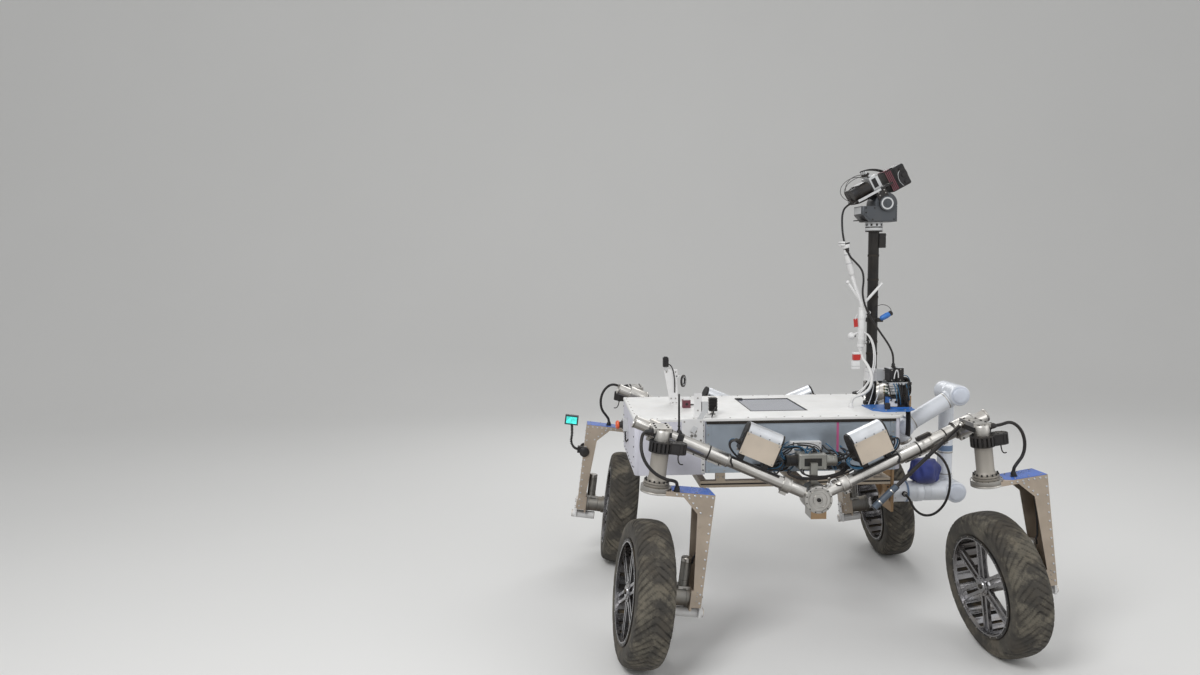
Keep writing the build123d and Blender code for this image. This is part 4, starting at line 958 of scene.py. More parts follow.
# steering cables, in the frame of a wheel corner before it is steered
LOOP_OVER = (
    (.122, 0, .652),
    (.16, 0, .614),
    (.172, 0, .56),
    (.16, 0, .508),
    (.128, 0, .476),
    (.112, 0, .456),
    (.112, 0, .427),
)
LOOP_ROUND = (
    (-.082, -.024, .628),
    (-.084, -.05, .584),
    (-.066, -.072, .538),
    (-.026, -.084, .5),
    (.024, -.082, .48),
    (.06, -.058, .474),
    (.078, -.034, .458),
    (.078, -.034, .427),
)
MAST_LEAD_TOP = (
    (.3007, 0, 1.845),
    (.2758, 0, 1.8318),
    (.26, -.012, 1.798),
    (.254, -.03, 1.75),
    (.254, -.045, 1.6996),
    (.2619, -.045, 1.6686),
)
MAST_LEAD_LOW = (
    (.2681, -.06, 1.644),
    (.2764, -.06, 1.6116),
    (.308, -.066, 1.58),
    (.338, -.07, 1.545),
    (.344, -.074, 1.5),
    (.336, -.076, 1.446),
    (.348, -.076, 1.388),
    (.378, -.074, 1.328),
    (.424, -.074, 1.262),
    (.46, -.08, 1.21),
    (.478, -.086, 1.17),
    (.482, -.086, 1.138),
    (.482, -.086, 1.105),
)
BOOM_HOSE = (
    (.344, -.045, 1.1954),
    (.3426, -.045, 1.156),
    (.37, -.074, 1.112),
    (.384, -.096, 1.06),
    (.374, -.098, 1.01),
    (.34, -.092, .982),
    (.29, -.084, .968),
    (.29, -.084, .924),
)
ARM_LEAD = (
    (.441, -.212, .742),
    (.486, -.212, .742),
    (.54, -.214, .762),
    (.6, -.212, .755),
    (.664, -.206, .716),
    (.704, -.198, .65),
    (.714, -.19, .57),
    (.698, -.18, .494),
    (.658, -.166, .442),
    (.612, -.15, .43),
    (.576, -.126, .456),
    (.562, -.096, .507),
    (.562, -.0484, .507),
)
# name, route, diameter, real length, finish, record slot, node, how it lies
HELD_LEADS = (
    ("mast_lead_high", MAST_LEAD_TOP, .009, .202, "cable", "cable_black", "mast_lead_top", "hanging"),
    ("mast_lead_long", MAST_LEAD_LOW, .009, .601, "cable", "cable_black", "mast_leads", "hanging"),
    ("boom_hose", BOOM_HOSE, .014, .338, "white_wire", "hose_white", "mast_leads", "hanging"),
    ("arm_cable", ARM_LEAD, .011, .736, "cable", "cable_black", "arm_lead", "hanging"),
)


def lay_lead(name, route, diameter, finish, node, bend=None):
    """A lead on one smooth line along its route.

    bend, when given, turns the lead into a plain mesh that rides on no body; the body, start and end in it are not
    used.
    """
    data = bpy.data.curves.new(name, "CURVE")
    data.dimensions = "3D"
    data.bevel_depth = diameter / 2
    data.bevel_resolution = 6
    data.resolution_u = 14
    data.use_fill_caps = True
    spline = data.splines.new("NURBS")
    spline.points.add(len(route) - 1)
    for point, place in zip(spline.points, route):
        point.co = (*place, 1)
    spline.order_u = 3
    spline.use_endpoint_u = True
    data.materials.append(Finish.made[finish])
    piece = new_object(name, data)
    path = None
    if bend:
        data.bevel_depth = 0
        line = bpy.data.meshes.new_from_object(piece)
        path = [tuple(vertex.co) for vertex in line.vertices]
        data.bevel_depth = diameter / 2
        tube = bpy.data.meshes.new_from_object(piece)
        tube.shade_smooth()
        bpy.data.objects.remove(piece)
        piece = new_object(name, tube)
        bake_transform(piece)
    else:
        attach(piece, "chassis")
    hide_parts(node)
    tuple(route[0])
    return piece


def make_leads():
    for name, route, diameter, length, finish, slot, node, lay in HELD_LEADS:
        bend = ("mast_pan", (.26, 0, 1.7), (.26, 0, 1.8)) if name == "mast_lead_high" else None
        lay_lead(name, route, diameter, finish, node, bend=bend)
    for name in CORNERS:
        drive, fore, over = steer_corner(name)
        points, length = (LOOP_OVER, .341) if over else (LOOP_ROUND, .377)
        start = drive @ (Z * CLAMP_Z) + Vector((fore * .0355, 0, .006))
        route = [start, start + Vector((fore * .034, 0, 0))] + [drive @ Vector(point) for point in points]
        lay_lead(
            "steer_cable_" + name, route, .013, "cable", "steer_loop_" + name,
            ("steer_" + name, tuple(drive @ (Z * .55)), tuple(drive @ (Z * .45))),
        )
    make_lead_ends()


def make_lead_ends():
    """Glands and boots where the leads leave the boxes, the boom and the arm."""
    shape = Shape()
    # place, way, radius of the lead, finish
    for place, way, radius, finish in (
        (MAST_LEAD_LOW[0], (.26, 0, -.96), .0045, "black"),
        (MAST_LEAD_LOW[-1], Z, .0045, "black"),
        (BOOM_HOSE[0], (-.03, 0, -1), .007, "white"),
        (BOOM_HOSE[-1], Z, .007, "white"),
        (ARM_LEAD[0], X, .0055, "alloy"),
        (ARM_LEAD[-1], -Y, .0055, "alloy"),
    ):
        shape.lathe(
            [(0, radius + .0055), (.004, radius + .0055), (.005, radius + .0035), (.012, radius + .0035), (.02,
             radius + .0006)], place, way, finish, 20,
        )
    for name in CORNERS:
        drive, fore, _ = steer_corner(name)
        start = drive @ (Z * CLAMP_Z) + Vector((fore * .0354, 0, .006))
        shape.lathe(mm(0, 14, 5, 14, 6, 11.5, 14, 11.5, 24, 7.2), start, X * fore, "black", 24)
    shape.finish("lead_glands", "chassis", "fitting_black")
    for name in CORNERS:
        drive, _, over = steer_corner(name)
        foot = LOOP_OVER[-1] if over else LOOP_ROUND[-1]
        boot = Shape(at=drive)
        boot.lathe(mm(0, 13.5, 4, 13.5, 5, 11, 12, 11, 22, 7.2), foot, Z, "black", 24)
        boot.finish("loop_boot_" + name, "steer_" + name, "fitting_black")


PIVOT_Y = .528
PIVOT_Z = .634
TUBE_END = (.732, .458, .946)


def tube_place(x, left):
    """Point on a rocker tube's centre line at this x."""
    share = abs(x) / TUBE_END[0]
    return Vector((x, left * (PIVOT_Y + (TUBE_END[1] - PIVOT_Y) * share), PIVOT_Z + (TUBE_END[2] - PIVOT_Z) * share))


def tube_frame(x, left):
    """Frame on a rocker tube: x along the tube towards its outer end, z upward and square to it."""
    fore = 1 if x > 0 else -1
    way = (tube_place(fore * TUBE_END[0], left) - tube_place(0, left)).normalized()
    across = Z.cross(way).normalized()
    basis = Matrix((way, across, way.cross(across))).transposed().to_4x4()
    return Matrix.Translation(tube_place(x, left)) @ basis


def make_rocker_details(side):
    """Ringed disc on the pivot, clamp ears and screws on the collars, seams and tube end rings."""
    left = 1 if side == "left" else -1
    shape = Shape()
    face = left * (PIVOT_Y + .042)
    shape.lathe(
        mm(0, 55.7, 3.5, 55.7, 4, 54.5, 4, 47.5, .8, 46.5, .8, 41, 5, 40.2, 5, 33.5, 1.8, 32.5, 1.8, 24, 6.5, 23.2,
         6.5, 15, 3, 14.2, 3, 3), (0, face, PIVOT_Z), Y * left, "tube", 96,
    )
    shape.bolt_ring((0, face + left * .004, PIVOT_Z), Y * left, .051, 12, .0027, .002, "dark")
    shape.bolt((0, face + left * .003, PIVOT_Z), Y * left, .0085, .006, "dark")
    inner = left * (PIVOT_Y - .042)
    shape.lathe(mm(0, 55.7, 3, 55.7, 3.5, 54, 3.5, 38), (0, inner, PIVOT_Z), Y * -left, "alloy", 64)
    shape.bolts((-.02, .02), left * PIVOT_Y, .571, -Z, .005, .003, "alloy")
    shape.block((0, face + left * .0012, .5712), (.0625, .0028, .0305), "bronze")
    for fore in SIDES:
        for x, radius, length in ((.12, .031, .034), (.6344, .037, .084)):
            shape.at = tube_frame(fore * x, left)
            half = length / 2
            lip = [(0, radius), (0, radius + .0016), (.004, radius + .0016), (.0046, radius + .0002)]
            for end in SIDES:
                shape.lathe(lip, (end * half, 0, 0), X * -end, "tube", 56)
            ear = .0135 if radius < .035 else .016
            for y in (-.0045, .0045):
                shape.block((0, y, -radius - ear / 2 + .002), (length * .8, .0065, ear), "tube")
            shape.bolts((-half * .5, half * .5), left * .0077, -radius - ear / 2, Y * left, .0036, .003, "dark")
        shape.at = tube_frame(fore * TUBE_END[0], left)
        shape.lathe(mm(0, 21.2, 1, 26.2, 3.5, 27, 7, 27, 8.5, 25.5), (-.0085, 0, 0), X, "alloy", 48, caps=False)
        shape.lathe(mm(0, 20.9, 2, 20.5), (-.034, 0, 0), X, "dark", 32)
        for x in (-.16, -.205, -.33):
            shape.lathe(band(28.6, 29.4, 6), (x, 0, 0), X, "dark", 40)
        # step and slit of the outer sleeve
        shape.at = tube_frame(fore * .352, left)
        shape.lathe(mm(0, 25.1, 0, 29.6, 7, 29.6, 8, 28.6), (-.0005, 0, 0), X, "alloy", 48)
        for u in (-.0046, .0046):
            shape.block((.118, u, -.0305), (.2, .0042, .0085), "tube")
        for end in SIDES:
            shape.bolts((.03, .085, .14, .2), end * .0067, -.031, Y * end, .0032, .0026, "dark")
    shape.at = Matrix.Identity(4)
    shape.finish("pivot_and_collars_" + side, "chassis", "tube_aluminium")


def make_body_trim():
    """Seal, screws, tape and the window's gasket on the body and its lid."""
    shape = Shape()
    low, high = PANEL_LOW, PANEL_HIGH
    for side in SIDES:
        face = side * high.y
        inner, outer = face - side * .0004, face + side * .0016
        shape.box((low.x, inner, high.z - .0052), (-.41, outer, high.z - .0002), "rubber")
        shape.box((-.41, inner, high.z - .0128), (high.x, outer, high.z - .0002), "rubber")
        way = Y * side
        shape.bolt_row(
            (low.x + .012, face, low.z + .011), (high.x - .012, face, low.z + .011), way, 13, .0033, .002, "alloy",
        )
        for x in (low.x + .011, high.x - .011):
            shape.bolt_row((x, face, low.z + .05), (x, face, high.z - .018), way, 5, .0033, .002, "alloy")
        # the cover's own screw strip beside the panel
        x, y, z0, z1 = COVER_HIGH.x, face + side * .0012, COVER_LOW.z, COVER_HIGH.z
        shape.box((x - .016, face - side * .0004, z0 + .006), (x - .001, y, z1 - .004), "white")
        shape.bolt_row((x - .0085, y, z0 + .02), (x - .0085, y, z1 - .016), way, 9, .0032, .002, "dark")
    shape.box((.153, -high.y + .0024, .711), (.163, -high.y + .0036, .909), "pink")
    shape.box((.15, -high.y - .0009, .7005), (.166, -high.y + .0005, .7125), "pink")
    lid_low, lid_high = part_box("deck_lid")
    for side in SIDES:
        y = side * (lid_high.y - .011)
        shape.bolt_row((lid_low.x + .02, y, DECK_Z), (lid_high.x - .05, y, DECK_Z), Z, 15, .0036, .0018, "alloy")
    for x in (lid_low.x + .012, lid_high.x - .012):
        shape.bolt_row((x, -.25, DECK_Z), (x, .25, DECK_Z), Z, 7, .0036, .0018, "alloy")
    (x0, y0, _), (x1, y1, _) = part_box("deck_window")
    rim = .004
    for a, b, c, d in (
        (x0 - rim, y0 - rim, x1 + rim, y0), (x0 - rim, y1, x1 + rim, y1 + rim), (x0 - rim, y0, x0, y1),
        (x1, y0, x1 + rim, y1),
    ):
        shape.box((a, b, DECK_Z - .001), (c, d, DECK_Z + .0016), "black")
    x, y = x0 + .012, y1 - .004
    shape.box((x - .017, y - .01, DECK_Z - .0004), (x + .017, y + .012, DECK_Z + .0052), "dark")
    shape.bolt((x, y + .002, DECK_Z + .0052), Z, .005, .0025, "alloy")
    # screws of the rear cover and ribs on its back
    rear = COVER_LOW.x
    for y in (-.27, .27):
        shape.bolt_row((rear, y, COVER_LOW.z + .03), (rear, y, COVER_HIGH.z - .025), -X, 5, .0036, .0022, "dark")
    shape.bolt_row((rear, -.21, COVER_LOW.z + .018), (rear, .21, COVER_LOW.z + .018), -X, 7, .0036, .0022, "dark")
    for z in (.73, .742, .754, .766):
        shape.box((rear - .0012, .13, z), (rear + .001, .235, z + .004), "black")
    shape.finish("body_trim", "chassis", "fitting_black")
    x0, x1, y, z0, z1 = -.0505, .0785, -.3398, .7583, .8217
    side_box = Shape()
    side_box.box((x0, y, z0), (x1, -.3088, z1), "white")
    for step in range(7):
        x = x0 + .014 + step * .0168
        side_box.box((x - .0011, y - .0012, z0 + .01), (x + .0011, y + .001, z1 - .01), "grey")
    side_box.bolts((x0 + .007, x1 - .007), y, (z0 + .006, z1 - .006), -Y, .0028, .0016, "alloy")
    side_box.rod((x1 - .001, -.326, .79), (x1 + .009, -.326, .79), .007, "black", 20)
    side_box.finish("side_box_shell", "chassis", "fitting_white", rounding=.003)


def make_frame_trim():
    """Slots and bolts on the rails, bolts on the arm's plate and the perforated web."""
    shape = Shape()
    for side in SIDES:
        for level in SIDES:
            y = side * (.2 + level * .0151)
            low, high = y - level * side * .0004, y + level * side * .0003
            shape.box((-.419, low, .6105), (.429, high, .6175), "dark")
        for x, u in product((-.33, .33), (-.012, .012)):
            for z, level in product((.645, .67), SIDES):
                shape.bolt((x + u, side * .2 + level * .015, z), (0, level, 0), .0045, .0035, "alloy")
    # bolts round the arm's flange and along its plate
    shape.bolt_ring((.514, 0, .507), X, .0545, 8, .0045, .004, "alloy", phase=.3)
    for y in (-.067, .067):
        shape.bolt_row((.5, y, .444), (.5, y, .622), X, 5, .004, .003, "alloy")
    for side in SIDES:
        for row in range(4):
            for step in range(4 - row):
                x, z = .478 - step * .0115, .592 - row * .0155
                y = side * (.06 + .0026)
                shape.lathe(mm(0, 4.4, .6, 4.2), (x, y, z), Y * side, "dark", 14)
        outline = mm(430.5, 598.5, 487.5, 598.5, 487.5, 484, 483, 484, 483, 593.5, 430.5, 593.5)
        shape.skin([[(u, side * y, v) for u, v in outline] for y in (.0625, .0637)], "bronze")
    shape.finish("frame_trim", "chassis", "frame_aluminium")


def controller_frame(fore, left):
    """Frame of a motor controller: x along the tube, z away from it, at the tube's centre line."""
    way = (tube_place(fore * TUBE_END[0], left) - tube_place(0, left)).normalized()
    up = Y.cross(way) * -fore
    up.normalize()
    along = way * fore
    basis = Matrix((along, up.cross(along), up)).transposed().to_4x4()
    return Matrix.Translation(tube_place(fore * .267, left)) @ basis


def make_controller(fore, left, spread):
    """Motor controller: black case, bright curved cover, satin face plate, plugs and their leads."""
    draw = spread.uniform
    name = ("front" if fore > 0 else "rear") + ("_left" if left > 0 else "_right")
    shape = Shape(at=controller_frame(fore, left))
    half_x, half_y, base, top, bend = .0705, .0392, .062, .1803, .0345
    turns = [radians(a) for a in range(0, 91, 10)]
    edge = [(half_y, .142)] + [(half_y - bend + bend * cos(a), top - bend + bend * sin(a)) for a in turns]
    rings = []
    for y, z in [(-y, z) for y, z in edge] + edge[::-1]:
        outer = y * 1.035, .12 + (z - .12) * 1.022
        rings.append([(-half_x, y, z), (-half_x, *outer), (half_x, *outer), (half_x, y, z)])
    shape.skin(rings, "silver")
    plate = mm(-73, 50, 73, 50, 73, 142.5, -73, 142.5)
    for side in SIDES:
        shape.bolts((-.0608, -.02, .02, .0608), side * (half_y + .0008), .1465, Y * side, .0026, .0016, "dark")
        shape.prism(plate, .0018 * -side, (0, side * half_y, 0), X, Z, "box_sheet")
        shape.bolts((-.0665, .0665), side * (half_y + .0018), (.057, .135), Y * side, .0031, .0018, "alloy")
    for end in SIDES:
        shape.box((end * .0712, -.0345, base + .003), (end * .0798, .0345, .152), "black")
        for y in (-.021, 0, .021):
            place = (end * .0795, y, .088)
            shape.lathe(mm(0, 8.8, 4, 8.8, 5, 7.2, 14, 7.2, 15, 4.8, 20, 4), place, X * end, "dark", 16)
            drop = draw(.03, .05)
            reach = draw(.022, .03)
            shape.bend(
                (end * .097, y, .088), (end * (.097 + reach), y, .088), (end * (.1 + reach), y * .6, .088 - drop),
                (end * .068, y * .7, .03), 9, .0033, spread.choice(("cable", "cable", "blue_wire")), 8,
            )
        shape.block((end * .0795, 0, .122), (.004, .05, .024), "dark")
    # lead along the top of the tube, tucked under it where the sleeve starts
    out = left * .019
    near, far = (-.12, .083) if fore > 0 else (.12, -.083)
    run = [(near + (far - near) * k / 8, out, .0225) for k in range(9)]
    tuck = bend_points(
        (far, out, .0225), (far * 1.12, out * 1.1, .021), (far * 1.1, left * .034, .004),
        (far * .86, left * .03, -.012), 8,
    )
    shape.path(run + tuck[1:], .0036, "cable", 10)
    shape.finish("controller_" + name, "chassis", "box_aluminium")


def bend_points(a, b, c, d, steps):
    """Points of a smooth bend from a to d that leaves towards b and arrives from c."""
    a, b, c, d = Vector(a), Vector(b), Vector(c), Vector(d)
    points = []
    for i in range(steps + 1):
        t = i / steps
        points.append(a * (1 - t) ** 3 + b * 3 * t * (1 - t) ** 2 + c * 3 * t * t * (1 - t) + d * t ** 3)
    return points


def make_junction(left, sizes, spread):
    """Junction box with ribbed cover and round plugs, and the bundle of leads around it."""
    draw = spread.uniform
    name = "left" if left > 0 else "right"
    y, z = left * .452, .768
    shape = Shape()
    for half_x, half_z, out, finish in ((.046, .024, .0362, "tinned"), (.036, .016, .0374, "dark")):
        low, high = y + left * .0345, y + left * out
        shape.box((-half_x, low, z - half_z), (half_x, high, z + half_z), finish)
    shape.bolts((-.05, .05), y + left * .035, (z - .027, z + .027), Y * left, .0032, .0022, "alloy")
    shape.bolts((-.05, .05), (y - .027, y + .027), z + .033, Z, .0032, .0022, "alloy")
    for end in SIDES:
        shape.lathe(
            mm(0, 21.2, 0, 24.5, 6, 24.5, 8, 22.5, 30, 22.5, 32, 24, 46, 24, 48, 21, 49, 18, 49, 4),
            (end * .0585, y, z), X * end, "tinned" if end > 0 else "dark", 36,
        )
        shape.bolt_ring((end * .1075, y, z), X * end, .014, 6, .0024, .002, "dark")
    for i in range(sizes.harness_leads):
        end = -1 if i % 2 else 1
        turn = draw(0, tau)
        reach = draw(0, .012)
        start = Vector((end * .106, y + reach * cos(turn), z + reach * sin(turn)))
        out = start + Vector((end * draw(.03, .075), left * draw(-.01, .03), draw(-.02, .05)))
        goal = Vector((end * draw(.03, .2), left * draw(.325, .4), draw(.7, .835)))
        near = goal + Vector((end * draw(-.02, .05), left * draw(.04, .075), draw(-.06, .03)))
        finish = "blue_wire" if i % 5 in (1, 3) else "cable"
        shape.bend(start, out, near, goal, 16, draw(.0022, .0042), finish, 8)
    for i in range(sizes.harness_leads // 2):
        x0 = draw(-.05, .05)
        start = Vector((x0, y + left * draw(-.02, .02), z + .03))
        top = start + Vector((draw(-.05, .05), left * draw(-.01, .02), draw(.035, .07)))
        goal = Vector((draw(-.12, .12), left * .322, draw(.75, .82)))
        near = goal + Vector((0, left * .055, draw(-.01, .06)))
        shape.bend(start, top, near, goal, 14, draw(.002, .0034), spread.choice(("cable", "blue_wire")), 8)
    # knots of pale and dark leads tied to the tube beside the pivot
    for i in range(14):
        spot = Vector((.062 + draw(-.02, .035), left * (.512 + draw(-.012, .03)), .668 + draw(-.008, .02)))
        a, b = (Vector([draw(-.045, .045) for _ in range(3)]) for _ in range(2))
        b.y = left * abs(b.y) * .6
        a.y = left * abs(a.y) * .6
        finish = ("white", "alloy", "white", "cable")[i % 4]
        shape.bend(spot, spot + a, spot + b, spot + Vector((.018, 0, .012)), 10, .0024, finish, 7)
    for i in range(5):
        x0 = draw(-.1, -.02)
        rise = draw(-.004, .012)
        shape.bend(
            (x0, y + left * .03, .735 + rise), (x0 - .05, y + left * .075, .7 + rise),
            (.12, y + left * .07, .69 + rise), (.14 + draw(0, .05), y + left * .02, .745 + rise), 14, .0036, "cable", 8,
        )
    # the plate on the body that the bundle goes into
    low, high = left * .3115, left * .3265
    shape.box((-.21, low, .697), (-.062, high, .724), "black")
    shape.box((.09, low, .697), (.21, high, .724), "black")
    for x in (-.19, -.16, -.13, -.1, .11, .14, .17):
        shape.rod((x, left * .326, .711), (x, left * .338, .711), .0085, "dark", 16)
        shape.bend(
            (x, left * .337, .711), (x, left * .37, .711), (x * .8, left * .42, .7), (x * .62, left * .44, .755), 12,
            .0034, "cable" if int(x * 100) % 2 else "blue_wire", 8,
        )
    shape.finish("harness_" + name, "chassis", "electronics_black")


def make_mast_trim():
    """Grey mount, foot ring, tilted handle, clamps and ties on the mast."""
    shape = Shape()
    shape.lathe(
        mm(0, 34.5, 1, 38, 3, 38.7, 13, 38.7, 14, 37.2, 18, 37.2, 19, 38.7, 38.5, 38.7, 39.5, 36.5),
        (MAST_X, 0, 1.7225), Z, "grey", 64,
    )
    for i in range(10):
        turn = tau * (i + .5) / 10
        way = Vector((cos(turn), sin(turn), 0))
        shape.prism(
            mm(-4.5, -5, 4.5, -5, 4.5, 5, -4.5, 5), .0012, Vector((MAST_X, 0, 1.749)) + way * .0379, way.cross(-Z), Z,
            "dark",
        )
    shape.bolt_ring((MAST_X, 0, DECK_Z + .014), Z, .029, 6, .0036, .003, "alloy")
    shape.lathe(mm(0, 34.3, 13, 34.3, 14.5, 33, 14.5, 24.5), (MAST_X, 0, DECK_Z), Z, "dark", 48)
    # clamp with its tilted blue handle
    shape.lathe(mm(0, 24.3, 0, 28.6, 1, 29.2, 19, 29.2, 20, 28.6, 20, 24.3), (MAST_X, 0, 1.306), Z, "dark", 40)
    shape.block((MAST_X + .024, -.026, 1.316), (.03, .014, .018), "dark")
    knee = Vector((MAST_X + .026, -.03, 1.32))
    way = Vector((.87, -.05, .5)).normalized()
    shape.lathe(mm(0, 6, 4, 9.5, 12, 12.5, 34, 13.5, 46, 12, 50, 8.5), knee, way, "blue", 28)
    shape.lathe(mm(0, 8.6, 2, 11.8, 10, 11.8, 14, 7), knee + way * .0485, way, "black", 28)
    end = knee + way * .058
    shape.bend(
        end, end + Vector((.004, 0, .034)), (MAST_X + .03, -.024, 1.4), (MAST_X + .004, -.0245, 1.372), 14, .0013,
        "cable", 6,
    )
    for z in (1.02, 1.16, 1.215, 1.42, 1.5, 1.61):
        shape.lathe(band(24.1, 25.6, 10), (MAST_X, 0, z - .005), Z, "rubber", 36)
    shape.bolts(MAST_X + .049, (-.014, .014), (1.652, 1.704), X, .004, .003, "alloy")
    shape.box((MAST_X + .0488, -.016, 1.664), (MAST_X + .0512, .016, 1.692), "dark")
    # a flat lead taped down the mast's back
    shape.box((MAST_X - .0055, .0236, .95), (MAST_X + .0055, .0266, 1.715), "rubber")
    shape.finish("mast_trim", "chassis", "mast_aluminium")


def make_pan_details():
    """Side covers, screws, base plate and plugs on the pan unit."""
    shape = Shape()
    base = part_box("mast_pan_unit")[0].z
    for side in SIDES:
        y = side * .058
        outline = [
            (.379, base + .003), (.482, base + .003), (.488, base + .009), (.488, 1.822), (.48, 1.8295), (.347, 1.8295),
            (.347, base + .034),
        ]
        shape.prism(outline, .0022 * -side, (0, y, 0), X, Z, "grey_paint")
        for x, z in ((.353, base + .04), (.481, base + .01), (.353, 1.823), (.392, 1.823), (.384, base + .009)):
            shape.bolt((x, y + side * .0022, z), Y * side, .0034, .002, "dark")
    shape.box((.3338, -.046, base + .036), (.3352, .046, 1.828), "grey")
    shape.lathe(mm(0, 38.5, 1, 39.5, 4, 39.5), (MAST_X, 0, MAST_TOP + .0003), Z, "grey", 48)
    shape.box((.358, -.045, base + .0008), (.47, .045, base + .0052), "dark")
    shape.box((.326, -.03, base + .005), (.402, .03, base + .0095), "dark")
    shape.finish("pan_covers", "mast_pan", "pan_grey", rounding=.0004)


def head_frame():
    return Matrix.Translation(TILT) @ Matrix.Rotation(radians(-28), 4, "Y")


def make_head_details():
    """Lens pair, ribbed camera, plates, plugs and thin wires on the tilting head."""
    shape = Shape(at=head_frame())
    # lens pair, looking back along the head
    for side in SIDES:
        y = side * .03
        shape.lathe(
            mm(0, 21.5, 0, 26.8, 1, 27.4, 14, 27.4, 15, 26, 22, 26, 23, 27.4, 50, 27.4, 51, 26.2, 83, 26.2),
            (-.1132, y, .1), X, "black", 48, caps=False,
        )
        shape.dome((-.1076, y, .1), -X, .0214, .004, "lens", 40)
        shape.lathe(mm(0, 27.2, 3, 24), (-.0302, y, .1), X, "black", 40)
        for i in range(18):
            turn = tau * i / 18
            way = Vector((0, cos(turn), sin(turn)))
            shape.block(Vector((-.08, y, .1)) + way * .0277, (.018, .0026, .0026), "black")
    shape.box((-.076, -.044, .1255), (-.036, .044, .131), "dark")
    # light-grey unit with a dark window between the lenses and the ribbed camera
    shape.box((-.018, -.047, .0745), (.024, .047, .138), "grey")
    for side in SIDES:
        shape.box((-.011, side * .0465, .084), (.01, side * .0478, .126), "dark")
        shape.bolts(.018, side * .047, (.0795, .1325), Y * side, .0028, .0016, "alloy")
    for y in (-.026, 0, .026):
        plug, lean = Vector((-.002, y, .1378)), Vector((-.33, 0, .944))
        shape.lathe(mm(0, 9.8, 6, 9.8, 7, 8.2, 20, 8.2, 21, 6, 34, 5.2), plug, (-.35, 0, 1), "grey", 20)
        shape.lathe(mm(0, 8.8, 9, 8.8, 10, 7), plug + lean * .012, (-.35, 0, 1), "rubber", 20)
        top = plug + lean * .033
        shape.bend(
            top, top + Vector((-.012, 0, .016)), (.046, y * .8, .162), (.07, y * .7, .1275), 12, .0024, "cable", 8,
        )
    # ribbed camera: ribs toward the lens pair, plain black case in front of them
    for step in range(6):
        x = .0605 + step * .0075
        finish = "maroon" if step < 4 else "dark"
        for side in SIDES:
            shape.box((x - .0021, side * .0458, .031), (x + .0021, side * .0492, .122), finish)
        shape.box((x - .0021, -.042, .1258), (x + .0021, .042, .1295), finish)
    for side in SIDES:
        shape.box((.104, side * .0458, .034), (.148, side * .0478, .118), "black")
        centre = Vector((.128, side * .0482, .062))
        arc = [centre + X * (.026 * cos(radians(a))) + Z * (.04 * sin(radians(a))) for a in range(100, 231, 13)]
        shape.path(arc, .0011, "grey", 6)
        for z, reach in mm(44, 7, 76, 5.5, 104, 8):
            shape.box((.122, side * .0475, z - .007), (.14, side * (.0478 + reach), z + .007), "black")
    shape.lathe(mm(0, 26.2, 0, 30, 1, 31, 5, 31, 6.5, 29), (.1515, 0, .078), X, "dark", 40, caps=False)
    shape.dome((.1518, 0, .078), X, .0262, .0035, "lens", 40)
    shape.bolts(.1518, (-.036, .036), (.037, .115), X, .0034, .002, "alloy")
    for side in SIDES:
        y = side * .0702
        shape.lathe(
            mm(0, 33.5, .8, 33.5, 1, 32.5, 1, 19, 3, 18.2, 3, 9, 5.5, 8.5), (0, y, 0), Y * side, "grey_paint", 56,
        )
        shape.lathe(mm(.8, 20.5, 2.6, 21, 2.6, 27.2, .8, 27.7), (0, y, 0), Y * side, "grey", 56, caps=False)
        shape.bolts((-.014, .014), y, (.046, .06), Y * side, .003, .002, "alloy")
        shape.box((-.112, y - side * .001, .0645), (.002, y + side * .0014, .0752), "grey")
    shape.bolts((-.104, -.024, .046), (-.062, .062), .074, Z, .0034, .0022, "alloy")
    # leads along the plate's underside, and thin wires that arch back from the lens pair
    for y, top in ((-.052, .0565), (.046, .058)):
        run = bend_points((.05, y, .07), (.04, y, .05), (0, y, top), (-.03, y * .8, top), 10)
        run += bend_points(
            (-.034, y * .8, top), (-.075, y * .6, top), (-.1, y * .3, .052), (-.1215, y * .08, .0655), 12,
        )
        shape.path(run, .0034, "cable", 8)
    for y, lift, reach in ((-.046, .052, .07), (-.04, .036, .09), (.02, .044, .08)):
        shape.bend(
            (-.012, y, .137), (-.05, y, .156 + lift), (-.117 - reach, y * 1.15, .12 + lift), (-.116, y * .9, .0745), 20,
            .0014, "cable", 6,
        )
    shape.finish("head_cameras", "mast_tilt", "electronics_black")


